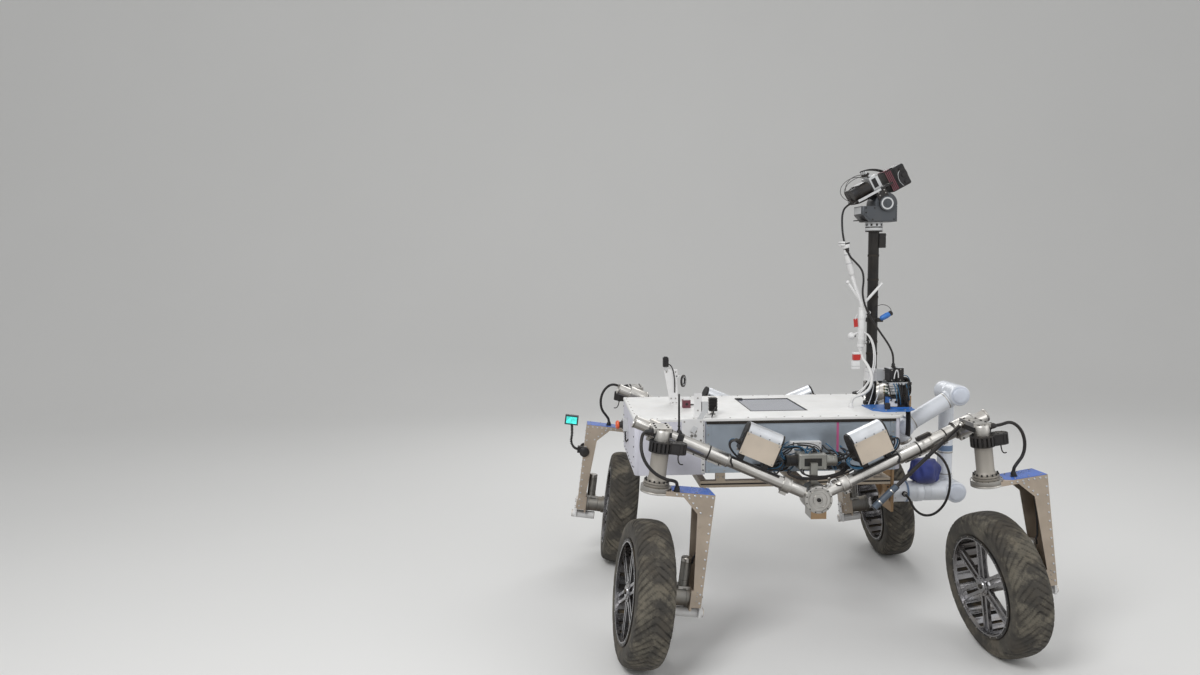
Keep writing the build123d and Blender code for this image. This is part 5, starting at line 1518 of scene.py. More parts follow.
def make_boom_details():
    """Tip clamp, sleeve rings, tags, the small ball and its white cables on the cable boom."""
    shape = Shape()
    y = -.045
    tip, bend = Vector((.262, y, 1.668)), Vector((.3, y, 1.52))
    sleeve_top, sleeve_end = Vector((.35, y, 1.376)), Vector((.344, y, 1.196))
    way = (bend - tip).normalized()
    low = tip + Vector((0, -.005, 0))
    shape.lathe(mm(0, 18, 1, 20.2, 7, 20.6, 8, 19.6, 24, 19.6, 24, 13), low, way, "black", 36)
    shape.box((tip.x - .024, y - .027, tip.z - .012), (tip.x - .006, y + .014, tip.z + .006), "white")
    shape.box((tip.x - .0245, y - .0275, tip.z - .0045), (tip.x - .0055, y + .0145, tip.z - .0025), "black")
    # thick upper length in shrunk tube
    shape.lathe(mm(0, 9, 3, 13.2, 12, 14.2, 118, 13.6, 126, 11.8, 130, 9.2), tip + way * .022, way, "white", 36)
    for along in (.05, .092):
        shape.lathe(mm(0, 13.6, .4, 14.8, 5.5, 14.8, 6, 13.6), tip + way * along, way, "grey", 36)
    down = (sleeve_end - sleeve_top).normalized()
    for along in (0, .045, .09, .135, .169):
        shape.lathe(mm(0, 15.9, .6, 17.1, 11, 17.1, 11.6, 15.9), sleeve_top + down * along, down, "white", 36)
    # ball, tags and small blocks beside the sleeve
    ball = Vector((.2985, y - .008, 1.246))
    for turn in SIDES:
        shape.dome(ball, (turn * .5, 0, turn * .7), .0165, .0165, "white", 28)
    shape.bend((.306, y, 1.25), (.316, y, 1.256), (.324, y, 1.26), (.336, y, 1.26), 6, .0032, "white", 8)
    shape.dome(ball + Vector((.0125, -.0112, 0)), (.75, -.66, 0), .005, .003, "black", 16)
    twig_rear = Vector((.28, y, 1.49))
    for turn in SIDES:
        shape.dome(twig_rear, (turn * -.5, 0, turn * .7), .0085, .0085, "white", 20)
    shape.dome(Vector((.436, y, 1.482)), (.55, 0, .65), .0062, .006, "white", 20)
    shape.prism(
        mm(-9.5, 0, 9.5, 2, 10.5, -36, -8.5, -38), .0012, (.3155, y - .008, 1.324), (1, 0, .06), (-.06, 0, 1), "red",
    )
    shape.bend(
        (.342, y, 1.345), (.328, y, 1.35), (.317, y - .006, 1.34), (.3155, y - .0085, 1.32), 8, .0016, "white", 6,
    )
    shape.box((.309, y - .014, 1.136), (.3395, y + .008, 1.163), "red")
    shape.box((.308, y - .0145, 1.1625), (.3405, y + .0085, 1.1705), "white")
    shape.box((.303, y - .0125, 1.096), (.3375, y + .006, 1.1335), "white")
    shape.box((.3025, y - .013, 1.106), (.338, y + .0065, 1.109), "grey")
    for shift, low_z in ((0, 0), (.007, -.012)):
        run = bend_points(
            (.354, y - .012, 1.262), (.376 + shift, y - .022, 1.255), (.398 + shift, y - .03, 1.21),
            (.394 + shift, y - .034, 1.14 + low_z), 10,
        )
        run += bend_points(
            (.394 + shift, y - .034, 1.135 + low_z), (.389 + shift, y - .036, 1.06), (.366, y - .04, 1.02),
            (.318, y - .036, .988 + low_z), 14,
        )
        shape.path(run, .0029, "white", 8)
    for z in (1.35, 1.215):
        shape.lathe(band(8.4, 9.8, 7), Vector((MAST_X - .03, y * .62, z)), (-.81, -.59, 0), "black", 24)
    shape.finish("boom_trim", "chassis", "boom_white")


def housing(shape, centre, way, low, high, radius, finish, cap=0, cap_radius=None, steps=64):
    """Round joint housing from low to high along way, with seam rings and a capped end."""
    centre, way = Vector(centre), Vector(way).normalized()
    length = high - low
    middle = length * .62
    shape.lathe(
        [(0, radius - .007), (.0012, radius - .0032), (.0045, radius), (middle, radius), (middle + .0006,
         radius - .0014), (middle + .0022, radius - .0014), (middle + .0028, radius), (length - .0045, radius),
         (length - .0012, radius - .0032), (length, radius - .007)], centre + way * low, way, finish, steps,
    )
    if cap:
        end = high if cap > 0 else low
        out = way * cap
        face = centre + way * end
        shape.lathe(
            [(0, cap_radius + .004), (.0022, cap_radius + .004), (.0026, cap_radius + .001)], face, out, "arm_cap",
            steps,
        )
        shape.lathe(
            [(0, cap_radius), (.005, cap_radius), (.0085, cap_radius - .003), (.0108, cap_radius - .009), (.0118,
             cap_radius * .5), (.012, .001)], face, out, "arm_cap", steps,
        )
        shape.bolt_ring(face + out * .0104, out, cap_radius * .72, 4, .0026, .0009, "arm_cap", phase=.5)


def limb(shape, start, end, radius, finish, low, high):
    """Straight tube of the arm between two housings, with a step and a bright ring near each end."""
    start, end = Vector(start), Vector(end)
    way = (end - start).normalized()
    length = (end - start).length
    shape.lathe(
        [(low, radius + .004), (low + .012, radius + .004), (low + .014, radius), (length - high - .014, radius),
         (length - high - .012, radius + .004), (length - high, radius + .004)], start, way, finish, 56,
    )
    for along in (low + .0185, length - high - .0235):
        shape.lathe(
            [(0, radius), (.0004, radius + .0012), (.0046, radius + .0012), (.005, radius)], start + way * along, way,
            "alloy", 56,
        )


ARM_Z = .507
FOREARM_DROP = radians(30.7)


def make_arm_base():
    """Arm's flange and first joint."""
    shape = Shape()
    shape.lathe(
        mm(0, 60.5, 1.5, 62, 12.5, 62, 14, 60.5, 14.2, 49.5, 18, 48, 72, 48, 72.6, 46.2, 75.6, 46.2, 76.2, 48, 118, 48,
         122, 47.8, 125.5, 49.2, 138, 49.2, 142, 47.8, 156, 47.8, 159.5, 46), (.5003, 0, ARM_Z), X, "arm_shell", 72,
    )
    shape.lathe(mm(0, 47.9, .6, 49.2, 9, 49.2, 9.6, 47.9), (.578, 0, ARM_Z), X, "arm_band", 72)
    shape.bolt_ring((.5145, 0, ARM_Z), X, .0555, 8, .0042, .004, "alloy", phase=.3)
    shape.rod((.562, -.046, ARM_Z), (.562, -.0575, ARM_Z), .0125, "black", 24)
    shape.finish("arm_first_joint", "chassis", "arm_white", ("arm_base",))


def make_hood():
    """Soft dark-blue cover tied over the arm's base, crowned, with creases and a hem."""
    shape = Shape("hood")
    centre = Vector((.674, 0, .6034))
    half = Vector((.064, .052, .058))
    around, rows = 96, 40
    grid = []
    for j in range(rows + 1):
        rise = -pi * .36 + (pi * .86) * j / rows
        row = []
        for i in range(around):
            turn = tau * i / around
            power = .62
            cu, su, cv, sv = cos(turn), sin(turn), cos(rise), sin(rise)
            spread = copysign(abs(cv) ** power, cv)
            place = Vector(
                (half.x * spread * copysign(abs(cu) ** power, cu), half.y * spread * copysign(abs(su) ** power, su),
                 half.z * copysign(abs(sv) ** power, sv)),
            )
            fold = .0048 * sin(turn * 7 + 1.7 * noise.noise(place * 30)) * max(0, cos(rise * 1.3))
            crease = .008 * noise.noise(Vector((place.x * 34, place.y * 34, place.z * 18 + 3.1)))
            pull = 1 + (fold + crease) / .05
            place = Vector((place.x * pull, place.y * pull, place.z + crease * .5 - (.002 if j > rows * .9 else 0)))
            world = centre + place
            gap = Vector((0, world.y, world.z - ARM_Z))
            if gap.length < .0505:
                gap = gap.normalized() * .0505
                world = Vector((world.x, gap.y, gap.z + ARM_Z))
            row.append(shape.mesh.verts.new(world))
        grid.append(row)
    shape.grid(grid)
    shape.mesh.faces.new(list(reversed(grid[0])))
    shape.mesh.faces.new(grid[-1])
    piece = shape.finish("arm_hood", "chassis", "arm_white", smooth=75)


def make_arm():
    shoulder = Shape()
    shoulder.lathe(
        mm(0, 41, 1, 44.5, 4, 45, 30, 45, 30.6, 43.6, 33, 43.6, 33.6, 45, 140, 45), (SHOULDER.x - .1492, 0, ARM_Z), X,
        "arm_shell", 64,
    )
    housing(shoulder, SHOULDER, -Y, -.0478, .0478, .049, "arm_shell", 1, .039)
    shoulder.finish("arm_shoulder_shell", "arm_shoulder", "arm_white", ("arm_shoulder",))
    upper = Shape()
    for centre in (SHOULDER, ELBOW):
        housing(
            upper, (centre.x, 0, centre.z), Y, .0486, .134, .0488 if centre is SHOULDER else .0478, "arm_shell", 1,
            .0385,
        )
    limb(upper, (SHOULDER.x, .091, SHOULDER.z), (ELBOW.x, .091, ELBOW.z), .034, "arm_shell", .04, .04)
    rise = (Vector((ELBOW.x, 0, ELBOW.z)) - Vector((SHOULDER.x, 0, SHOULDER.z))).normalized()
    foot = Vector((SHOULDER.x, .091, SHOULDER.z))
    upper.lathe(mm(0, 34.2, .6, 35.2, 26, 35.2, 26.6, 34.2), foot + rise * .172, rise, "arm_band", 56)
    upper.lathe(mm(0, 34.2, .4, 35.4, 6, 35.4, 6.4, 34.2), foot + rise * .162, rise, "alloy", 56)
    upper.finish("arm_upper_shell", "arm_upper", "arm_white", ("arm_upper",))
    fore = Shape()
    housing(fore, ELBOW, -Y, -.0478, .0478, .048, "arm_shell", 1, .038)
    end = Vector((WRIST.x, 0, WRIST.z))
    limb(fore, ELBOW, end, .0385, "arm_shell", .036, .03)
    housing(fore, end, Y, -.0398, .0398, .0418, "arm_shell")
    fore.lathe(mm(0, 34, 4, 34, 7.5, 31, 9.5, 24, 10.5, 1), (end.x, -.0398, end.z), -Y, "arm_cap", 56)
    fore.finish("arm_forearm_shell", "arm_forearm", "arm_white", ("arm_forearm",))
    place = Matrix.Translation(end) @ Matrix.Rotation(-FOREARM_DROP, 4, "Y")
    wrist = Shape(at=place)
    housing(wrist, (0, 0, 0), Y, .0406, .1218, .0358, "arm_shell")
    wrist.dome((0, .1216, 0), Y, .0285, .0025, "arm_cap", 48)
    wrist.lathe(
        mm(0, 33.8, 58, 33.8, 58.6, 32.6, 60.6, 32.6, 61.2, 33.8, 84, 33.8, 88, 31.8), (0, .084, 0), -Z, "arm_shell",
        56,
    )
    wrist.finish("arm_wrist_shell", "arm_wrist", "arm_white", ("arm_wrist",))
    flange = Shape(at=place)
    flange.lathe(mm(0, 33.5, .8, 32.5, .8, 31.8), (0, .084, -.0888), -Z, "alloy", 48, caps=False)
    flange.bolt_ring((0, .084, -.1024), -Z, .011, 3, .0022, .0008, "dark")
    flange.finish("tool_flange_ring", "arm_tool_flange", "flange_aluminium")
    dress_node("arm_tool_flange", "alloy", .0006)


def board(shape, low, high, spread, finish="board"):
    """Circuit board with chips, sockets and standoffs."""
    draw = spread.uniform
    shape.box(low, high, finish)
    for _ in range(9):
        x = draw(low[0] + .008, high[0] - .012)
        y = draw(low[1] + .008, high[1] - .012)
        size = (draw(.004, .014), draw(.004, .012), draw(.0012, .004))
        shape.block((x, y, high[2] + size[2] / 2), size, spread.choice(("black", "alloy", "black")))
    for x, y in product((low[0] + .004, high[0] - .004), (low[1] + .004, high[1] - .004)):
        shape.rod((x, y, low[2] - .006), (x, y, high[2] + .003), .0025, "brass", 10)


def make_stack(spread):
    """Power unit, boards, tray and two upright modules, and the white box on the mast."""
    draw = spread.uniform
    shape = Shape()
    base = DECK_Z + .005
    # power unit: dark case with a bronze end, and a small blue box before it
    shape.box((.455, -.1475, base), (.534, -.0525, base + .053), "black")
    shape.box((.5335, -.146, base), (.5438, -.054, base + .052), "bronze")
    for step in range(8):
        x = .459 + step * .0094
        shape.box((x, -.1483, base + .006), (x + .0036, -.147, base + .048), "dark")
    shape.box((.4425, -.1485, base), (.4555, -.1, base + .044), "blue")
    shape.box((.4435, -.1492, base + .006), (.48, -.1478, base + .04), "white")
    shape.rod((.4725, -.149, base + .026), (.4725, -.1525, base + .026), .0062, "dark", 18)
    for x in (.499, .512, .525):
        shape.rod((x, -.1475, base + .02), (x, -.1525, base + .02), .0044, "dark", 14)
    # boards with pale plugs at the rear and a black block in front
    low = base + .054
    for level in range(3):
        rise = low + .003 + level * .0135
        board(shape, (.449, -.1305, rise), (.531, -.0535, rise + .0017), spread)
        for step in range(3):
            x = .4485 + step * .0125
            finish = ("white", "grey", "white")[(step + level) % 3]
            shape.box((x, -.1345, rise + .0017), (x + .0105, -.118, rise + .0112), finish)
    shape.box((.488, -.1322, low + .001), (.5325, -.118, low + .0465), "black")
    for z in (.01, .0235, .037):
        shape.box((.491, -.1332, low + z - .002), (.5295, -.132, low + z + .002), "dark")
    tray = base + .102
    shape.box((.441, -.1435, tray), (.528, -.0525, tray + .0035), "silver")
    shape.box((.528, -.1435, tray), (.5455, -.0525, tray + .0118), "dark")
    shape.box((.441, -.1435, tray + .0035), (.528, -.1415, tray + .0118), "silver")
    shape.box((.441, -.1435, tray + .0035), (.4435, -.0525, tray + .0118), "silver")
    board(shape, (.446, -.14, tray + .0062), (.526, -.056, tray + .0078), spread)
    # the two modules with the pale cable between them
    top = tray + .012
    for x0, x1, tall in ((.4525, .4745, .0565), (.4885, .5175, .0605)):
        shape.box((x0, -.1205, top), (x1, -.053, top + tall), "black")
        shape.box((x0 - .0008, -.1212, top + tall * .55), (x1 + .0008, -.0525, top + tall * .6), "dark")
        shape.box((x0 + .003, -.1216, top + .008), (x1 - .003, -.1203, top + tall * .45), "dark")
        shape.bolts((x0 + x1) / 2, -.1205, (top + .006, top + tall - .005), -Y, .0026, .0016, "alloy")
        shape.box((x0 + .002, -.112, top + tall), (x1 - .002, -.062, top + tall + .0016), "silver")
    shape.bend(
        (.472, -.124, top + .014), (.476, -.131, top + .066), (.488, -.131, top + .066), (.492, -.124, top + .018), 14,
        .0026, "white", 8,
    )
    for i in range(9):
        y = draw(-.135, -.075)
        z = draw(base + .03, base + .085)
        goal = (.519, y - draw(0, .01), draw(tray + .015, top + .03))
        shape.bend(
            (.5425, y, z), (.545 + draw(.008, .016), y, z), (.55, y - .01, goal[2] + .004), goal, 12,
            draw(.0016, .0028), spread.choice(("cable", "blue_wire", "cable", "cable")), 7,
        )
    for i in range(9):
        x = draw(.444, .535)
        start = (x, -.148, base + draw(.012, .04))
        goal = (x + draw(-.02, .02), -.1415, tray + .007)
        shape.bend(
            start, (x, -.166, start[2] - .01), (goal[0], -.168, goal[2] - .012), goal, 12, draw(.0018, .003),
            spread.choice(("cable", "blue_wire", "cable", "cable")), 7,
        )
    for i in range(4):
        y = -.118 - i * .011
        run = bend_points(
            (.512, y, base + .028), (.532, y, base + .026), (.5355, y - .004, .915), (.534, y - .008, .875), 10,
        )
        shape.path(run + [Vector((.533, y - .012, .84)), Vector((.531, y - .012, .8))], .0046, "cable", 8)
    # box on the mast: near part on the left, a greyer half on the right
    box = 1.039
    shape.box((.3755, -.0635, box), (.414, -.0005, box + .0556), "white")
    shape.box((.4142, -.0635, box + .001), (.4546, -.0265, box + .0546), "grey")
    shape.box((.3748, -.0642, box + .04), (.4552, -.026, box + .0422), "grey")
    shape.bolts((.381, .4485), -.0635, (box + .006, box + .05), -Y, .003, .0018, "alloy")
    for x in (.387, .406, .435):
        shape.lathe(mm(0, 7.5, 5, 7.5, 6, 5, 12, 5), (x, -.052, box), -Z, "dark", 16)
        shape.bend(
            (x, -.052, box - .011), (x, -.052, box - .04), (x - .012, -.062, .97), (x - .03, -.07, .932), 12, .0022,
            spread.choice(("white", "cable")), 7,
        )
    for rise in (.01, .04):
        shape.lathe(band(24.2, 26.2, 8), (MAST_X, 0, box + rise), Z, "alloy", 32)
    shape.finish("electronics", "chassis", "electronics_black", ("electronics_stack",), rounding=.0007)
    dress_node("stack_carrier", "blue", .0008)
    screws = Shape()
    for x, y in mm(366, -60, 530, -60, 366, -168, 405, -212, 490, -212, 530, -168):
        screws.bolt((x, y, DECK_Z + .005), Z, .0042, .0025, "alloy")
    screws.box((.447, -.1655, DECK_Z + .0045), (.54, -.1605, DECK_Z + .01), "blue")
    screws.lathe(mm(0, 12.5, 24, 12.5, 26, 10.5, 28, 6), (.424, -.176, DECK_Z + .0048), Z, "black", 24)
    screws.finish("carrier_screws", "chassis", "carrier_blue")


def make_deck_fittings():
    """Finned box on its pin, red block, and the trim of the tail post, ring and angled side plate."""
    shape = Shape()
    z = DECK_Z
    rx, ry = -.4535, -.02
    shape.post(rx, ry, .0178, z, z + .0355, "maroon")
    shape.post(rx, ry, .0135, z + .0354, z + .044, "white")
    shape.rod((rx, ry - .0175, z + .018), (rx, ry - .0195, z + .018), .006, "black", 20)
    bx, by, lift = -.364, -.205, .015
    shape.rod((bx, by, z), (bx, by, z + lift + .002), .007, "alloy", 24)
    shape.lathe(mm(0, 12, 2, 12, 3, 7.5), (bx, by, z), Z, "dark", 24)
    shape.post(bx, by, .0155, z + lift, z + lift + .058, "dark")
    for step in range(9):
        low = z + lift + .001 + step * .0066
        shape.post(bx, by, .018, low, low + .003, "dark")
    shape.rod((bx, by, z + lift + .0578), (bx, by, z + lift + .062), .01, "alloy", 24)
    shape.bend(
        (bx + .004, by - .017, z + .03), (bx + .01, by - .05, z + .045), (bx - .01, by - .07, z + .03),
        (bx - .02, by - .092, z + .004), 12, .003, "black", 8,
    )
    # tail post with its foot, neck, head, lug and towing ring
    px, py = -.475, .12
    outline = mm(0, 0, 0, 160, -65, 160, -36, 0)
    shape.prism(outline[::-1], .006, (px, py, z), X, Z, "white")
    shape.box((px - .036, py - .06, z), (px, py - .001, z + .006), "white")
    hx, hy, head = -.531, .113, z + .173
    shape.post(hx, hy, .007, z + .158, head + .002, "grey")
    shape.post(hx, hy, .0123, head, head + .0438, "black")
    shape.box((px - .008, py - .006, z + .124), (-.447, py, z + .13), "white")
    ring = Matrix.Translation((-.447, py - .003, z + .104)) @ Matrix.Rotation(radians(60), 4, "Z")
    shape.at = ring
    shape.lathe(mm(0, 17.2, 0, 28.2, .8, 29, 7.2, 29, 8, 28.2, 8, 17.2, 0, 17.2), (0, -.004, 0), Y, "black", 48)
    shape.at = Matrix.Identity(4)
    # angled plate on the near side
    shape.box((-.5165, -.323, z - .103), (-.4255, -.3182, z), "white")
    shape.box((-.5165, -.3184, z - .103), (-.4255, -.3121, z - .073), "white")
    shape.finish("deck_fittings_shell", "chassis", "fitting_white", ("deck_fittings",), rounding=.0009)
    trim = Shape()
    # the white plate and holder behind the finned box, between it and the cover
    trim.box((-.452, -.2425, z), (-.418, -.2395, z + .098), "white")
    trim.box((-.452, -.2395, z), (-.418, -.222, z + .003), "white")
    trim.box((-.421, -.2425, z + .01), (-.391, -.2365, z + .062), "grey")
    trim.bolts(-.436, -.2425, (z + .024, z + .078), -Y, .0036, .0024, "alloy")
    # tail post: bolts, head's fins and its lead
    for u, rise in mm(-9, 22, -30, 22, -9, 148, -52, 148):
        trim.bolt((px + u, py - .006, z + rise), -Y, .0036, .0024, "alloy")
    trim.bolts((px - .01, px - .027), py - .045, z + .006, Z, .004, .003, "alloy")
    for step in range(6):
        low = head + .004 + step * .0062
        trim.post(hx, hy, .0131, low, low + .0028, "dark")
    trim.lathe(mm(0, 9, 3, 9, 4, 7.5, 4, 2), (hx, hy, head + .044), Z, "dark", 24)
    trim.bend(
        (hx + .0125, hy, head + .012), (hx + .036, hy, head + .006), (px - .012, py - .012, z + .13),
        (px - .014, py - .009, z + .05), 16, .0026, "cable", 8,
    )
    # towing ring: pale bushing inside the black ring
    trim.at = ring
    for side in SIDES:
        trim.lathe(mm(0, 17.2, .6, 17.8, .6, 20.5, 0, 21), (0, side * .004, 0), Y * side, "grey", 40, caps=False)
        trim.bolt_ring((0, side * .004, 0), Y * side, .025, 6, .002, .0012, "alloy")
    trim.at = Matrix.Identity(4)
    # side plate: two by two dark holes, its screws and the strut up to the deck
    face = -.323
    for x, low in product((-.474, -.459), (.853, .872)):
        trim.lathe(mm(0, 5, .6, 4.8), (x, face, low), -Y, "dark", 20)
        trim.lathe(band(5, 6.4, .8), (x, face, low), -Y, "alloy", 20)
    trim.bolts((-.506, -.436), face, .834, -Y, .0045, .003, "alloy")
    trim.bolts((-.506, -.436), face, .914, -Y, .0036, .0025, "alloy")
    along = Vector((.056, .026, .087)).normalized()
    trim.prism(
        mm(-10, 0, 10, 0, 10, 107, -10, 107), .0035, (-.473, -.3265, .868), Vector((.84, 0, -.54)), along, "grey",
    )
    trim.lathe(mm(0, 12.5, 3, 12.5, 4, 11, 4, 6), (-.42, .046, z), Z, "black", 28)
    trim.finish("tail_trim", "chassis", "fitting_white")


def make_stop_button():
    """Stop button: grey box with a domed orange-red cap."""
    shape = Shape()
    x, y, z = COVER_LOW.x, .04, .838
    shape.box((x - .0238, y - .0268, z - .0268), (x - .0002, y + .0268, z + .0268), "grey")
    shape.lathe(mm(0, 20.5, 3, 20.5, 4, 15.5, 16.2, 14), (x - .0235, y, z), -X, "black", 40)
    shape.lathe(
        mm(0, 15.5, .8, 18.8, 3, 20, 10.5, 19.8, 14.8, 17.2, 17.2, 11.5, 17.8, 1), (x - .0398, y, z), -X, "orange", 48,
    )
    shape.bolts(x - .0238, (y - .021, y + .021), (z - .021, z + .021), -X, .0026, .0016, "alloy")
    shape.rod((x - .012, y, z - .0265), (x - .012, y, z - .0345), .007, "black", 20)
    shape.bend(
        (x - .012, y, z - .034), (x - .012, y, z - .075), (x - .014, y - .03, z - .085), (x - .002, y - .034, z - .062),
        14, .0034, "black", 8,
    )
    shape.finish("stop_switch", "chassis", "stop_red", ("stop_button",), rounding=.002)


def make_tube_fittings():
    """Antenna and small box on the near tube."""
    shape = Shape()
    base = tube_place(-.55, -1)
    shape.lathe(
        mm(25.5, 13.8, 28.5, 13.8, 30, 12.5, 38.5, 8.8, 40.5, 5.6, 47, 5.2, 48, 4.4, 120, 4.2, 186, 3.8, 189, 2.5),
        base, Z, "black", 28,
    )
    shape.lathe(band(4.4, 5.8, 5), base + Z * .054, Z, "dark", 24)
    shape.lathe(mm(0, 12.8, 12, 11.8, 20, 9, 22, 4), base - Z * .0265, -Z, "black", 24)
    shape.at = tube_frame(-.55, -1)
    shape.lathe(band(28.6, 30.2, 26), (-.013, 0, 0), X, "dark", 40)
    shape.at = tube_frame(.47, -1)
    shape.box((-.031, -.009, .0255), (.031, .009, .0415), "black")
    shape.box((-.028, -.0075, .0413), (.028, .0075, .0424), "dark")
    shape.bolts((-.0275, .0275), 0, .0422, Z, .0024, .0012, "alloy")
    for x in (-.017, .017):
        shape.lathe(band(28.6, 29.9, 8), (x - .004, 0, 0), X, "alloy", 40)
    shape.rod((.031, 0, .034), (.038, 0, .034), .0055, "alloy", 18)
    shape.finish("tube_fittings_near", "chassis", "fitting_black", ("tube_fittings",), rounding=.0008)


def make_conduit_trim():
    """Rings and the blue-grey sleeve on the conduit beside the tube."""
    end = Vector((.238, -.53, .582))
    start = Vector((.5989, -.53, .9261))
    way = (end - start).normalized()
    sleeve = end - way * .135
    shape = Shape()
    shape.lathe(mm(0, 10, 2, 12.5, 6, 13.6, 128, 13.6, 133, 12.5, 135.5, 9), sleeve, way, "conduit_blue", 32)
    for along in (.09, .19, .29):
        shape.lathe(band(7.9, 10.2, 7), start + way * along, way, "black", 24)
    shape.lathe(mm(0, 13.5, 4, 13.5, 6, 10.5, 14, 9.5), start, way, "alloy", 28)
    for along in (.03, .095):
        shape.lathe(mm(0, 13.5, .4, 14.4, 5, 14.4, 5.4, 13.5), sleeve + way * along, way, "alloy", 32)
    shape.finish("conduit_trim", "chassis", "cable_black")


def make_action_camera():
    """Small camera on a bendy neck, clamped to the rear left leg, with a lit screen on its back."""
    shape = Shape(at=corner_frame("rear_left"))
    x, z = .31, .435
    shape.box((x - .0352, -.0163, z - .0248), (x + .0352, .0163, z + .0248), "grey_paint")
    for side in SIDES:
        low, high = side * .0161, side * .0171
        shape.box((x - .0325, low, z - .0222), (x + .0325, high, z + .0222), "black")
    for side in SIDES:
        low, high = side * .0168, side * .0176
        if side > 0:
            shape.box((x - .028, low, z - .0182), (x + .028, high, z + .0182), "screen")
        else:
            shape.lathe(
                mm(0, 12.5, 1, 13.2, 4.5, 13.2, 5, 12.2), (x + .016, side * .0165, z + .006), Y * side, "dark", 32,
            )
            shape.dome((x + .016, side * .0215, z + .006), Y * side, .0105, .0025, "lens", 28)
            shape.box((x - .028, low, z - .016), (x - .004, high, z + .01), "screen")
    shape.rod((x + .012, 0, z + .0247), (x + .012, 0, z + .0262), .006, "alloy", 20)
    jaw = .245
    shape.box((.2286, -.0165, .2655), (.2615, .0165, .2985), "black")
    shape.box((.2262, -.0185, .2615), (.2325, .0185, .3025), "dark")
    for side in SIDES:
        shape.lathe(mm(0, 24, 2, 25.5, 12, 25.5, 14, 21, 18, 12), (.224, side * .0524, .282), Y * side, "black", 28)
        shape.box((.2262, side * .018, .272), (.238, side * .06, .292), "black")
    shape.lathe(mm(0, 5, 10, 5, 11, 12, 18, 12.5, 20, 9), (jaw, -.0165, .282), -Y, "black", 20)
    neck = [(.258, 0, .282), (.282, 0, .286), (.302, 0, .318), (.298, 0, .352), (.302, 0, .384), (.306, 0, .412)]
    points = []
    for a, b in zip(neck, neck[1:]):
        a, b = Vector(a), Vector(b)
        points += [a.lerp(b, k / 4) for k in range(4)]
    points.append(Vector(neck[-1]))
    for _ in range(4):
        points = [points[0]] + [(p + q * 2 + r) / 4 for p, q, r in zip(points, points[1:], points[2:])] + [points[-1]]
    shape.path(points, .0038, "black", 12)
    for point, ahead in zip(points[1:-1], points[2:]):
        shape.lathe(mm(-3, 4.5, -2, 7.2, 2, 7.2, 3, 4.5), point, ahead - point, "black", 14)
    shape.finish("action_camera_body", "steer_rear_left", "electronics_black", ("action_camera",), rounding=.0012)


def make_stage():
    """Pale floor that curves up into a backdrop, with soft lamps."""
    data = bpy.data.meshes.new("studio_floor")
    floor = bmesh.new()
    profile = [(-9.0, 0), (5.0, 0)]
    profile += [(5.0 + 3.0 * sin(radians(a)), 3.0 - 3.0 * cos(radians(a))) for a in range(6, 91, 6)]
    profile.append((8.0, 10.0))
    rows = [[floor.verts.new((x, y, z)) for x in (-14.0, 14.0)] for y, z in profile]
    for lower, upper in zip(rows, rows[1:]):
        floor.faces.new((lower[0], lower[1], upper[1], upper[0]))
    floor.to_mesh(data)
    floor.free()
    data.polygons.foreach_set("use_smooth", [True] * len(data.polygons))
    piece = new_object("studio_floor", data)
    paper = bpy.data.materials.new("studio_paper")
    paper.use_nodes = True
    tree = paper.node_tree
    shader = tree.nodes["Principled BSDF"]
    shader.inputs["Roughness"].default_value = .95
    place = tree.nodes.new("ShaderNodeTexCoord").outputs["Object"]
    shade = mix_colour(tree, noise_node(tree, place, .6, 2.0), (.8, .8, .79, 1), (.83, .83, .82, 1))
    tree.links.new(shade, shader.inputs["Base Color"])
    data.materials.append(paper)
    world = bpy.data.worlds.new("studio_world")
    bpy.context.scene.world = world
    world.use_nodes = True
    tree = world.node_tree
    sky = tree.nodes["Background"]
    path = tree.nodes.new("ShaderNodeLightPath")
    seen = math_node(tree, "MAXIMUM", path.outputs["Is Camera Ray"], path.outputs["Is Glossy Ray"])
    seen = math_node(tree, "MAXIMUM", seen, path.outputs["Is Transmission Ray"])
    tree.links.new(mix_value(tree, seen, .46, 1.0), sky.inputs["Strength"])
    sky.inputs["Color"].default_value = (1, 1, 1, 1)
    # name, place, aim, size, power
    for name, spot, aim, size, power in (
        ("key_lamp", (-2.6, -3.4, 4.2), (0, 0, .7), 1.8, 125.0),
        ("fill_lamp", (3.6, -3.0, 2.6), (.3, 0, .7), 2.6, 34.0),
        ("back_lamp", (.6, 3.4, 3.8), (0, 0, .8), 2.4, 55.0),
    ):
        lamp_data = bpy.data.lights.new(name, "AREA")
        lamp_data.energy = power
        lamp_data.size = size
        lamp = new_object(name, lamp_data)
        lamp.visible_camera = False
        spot, aim = Vector(spot), Vector(aim)
        lamp.matrix_world = Matrix.Translation(spot) @ (spot - aim).to_track_quat("Z", "Y").to_matrix().to_4x4()
    bpy.context.scene.view_settings.view_transform = "Standard"


class ROVER_OT_camera(bpy.types.Operator):
    """Adds the camera at the photograph's place"""

    bl_idname = "rover.camera"
    bl_label = "Camera"

    def execute(self, context):
        aim_camera(context.scene.rover_sizes)
        return {"FINISHED"}


class ROVER_OT_leads(bpy.types.Operator):
    """Lays the steering cables, the mast's leads and the arm's cable"""

    bl_idname = "rover.leads"
    bl_label = "Leads"

    def execute(self, context):
        shared(context)
        make_leads()
        return {"FINISHED"}


class ROVER_OT_tyres(bpy.types.Operator):
    """Builds the four grooved tyres"""

    bl_idname = "rover.tyres"
    bl_label = "Tyres"

    def execute(self, context):
        sizes = shared(context)
        for seed, name in enumerate(CORNERS):
            make_tyre(name, sizes, seed)
        return {"FINISHED"}


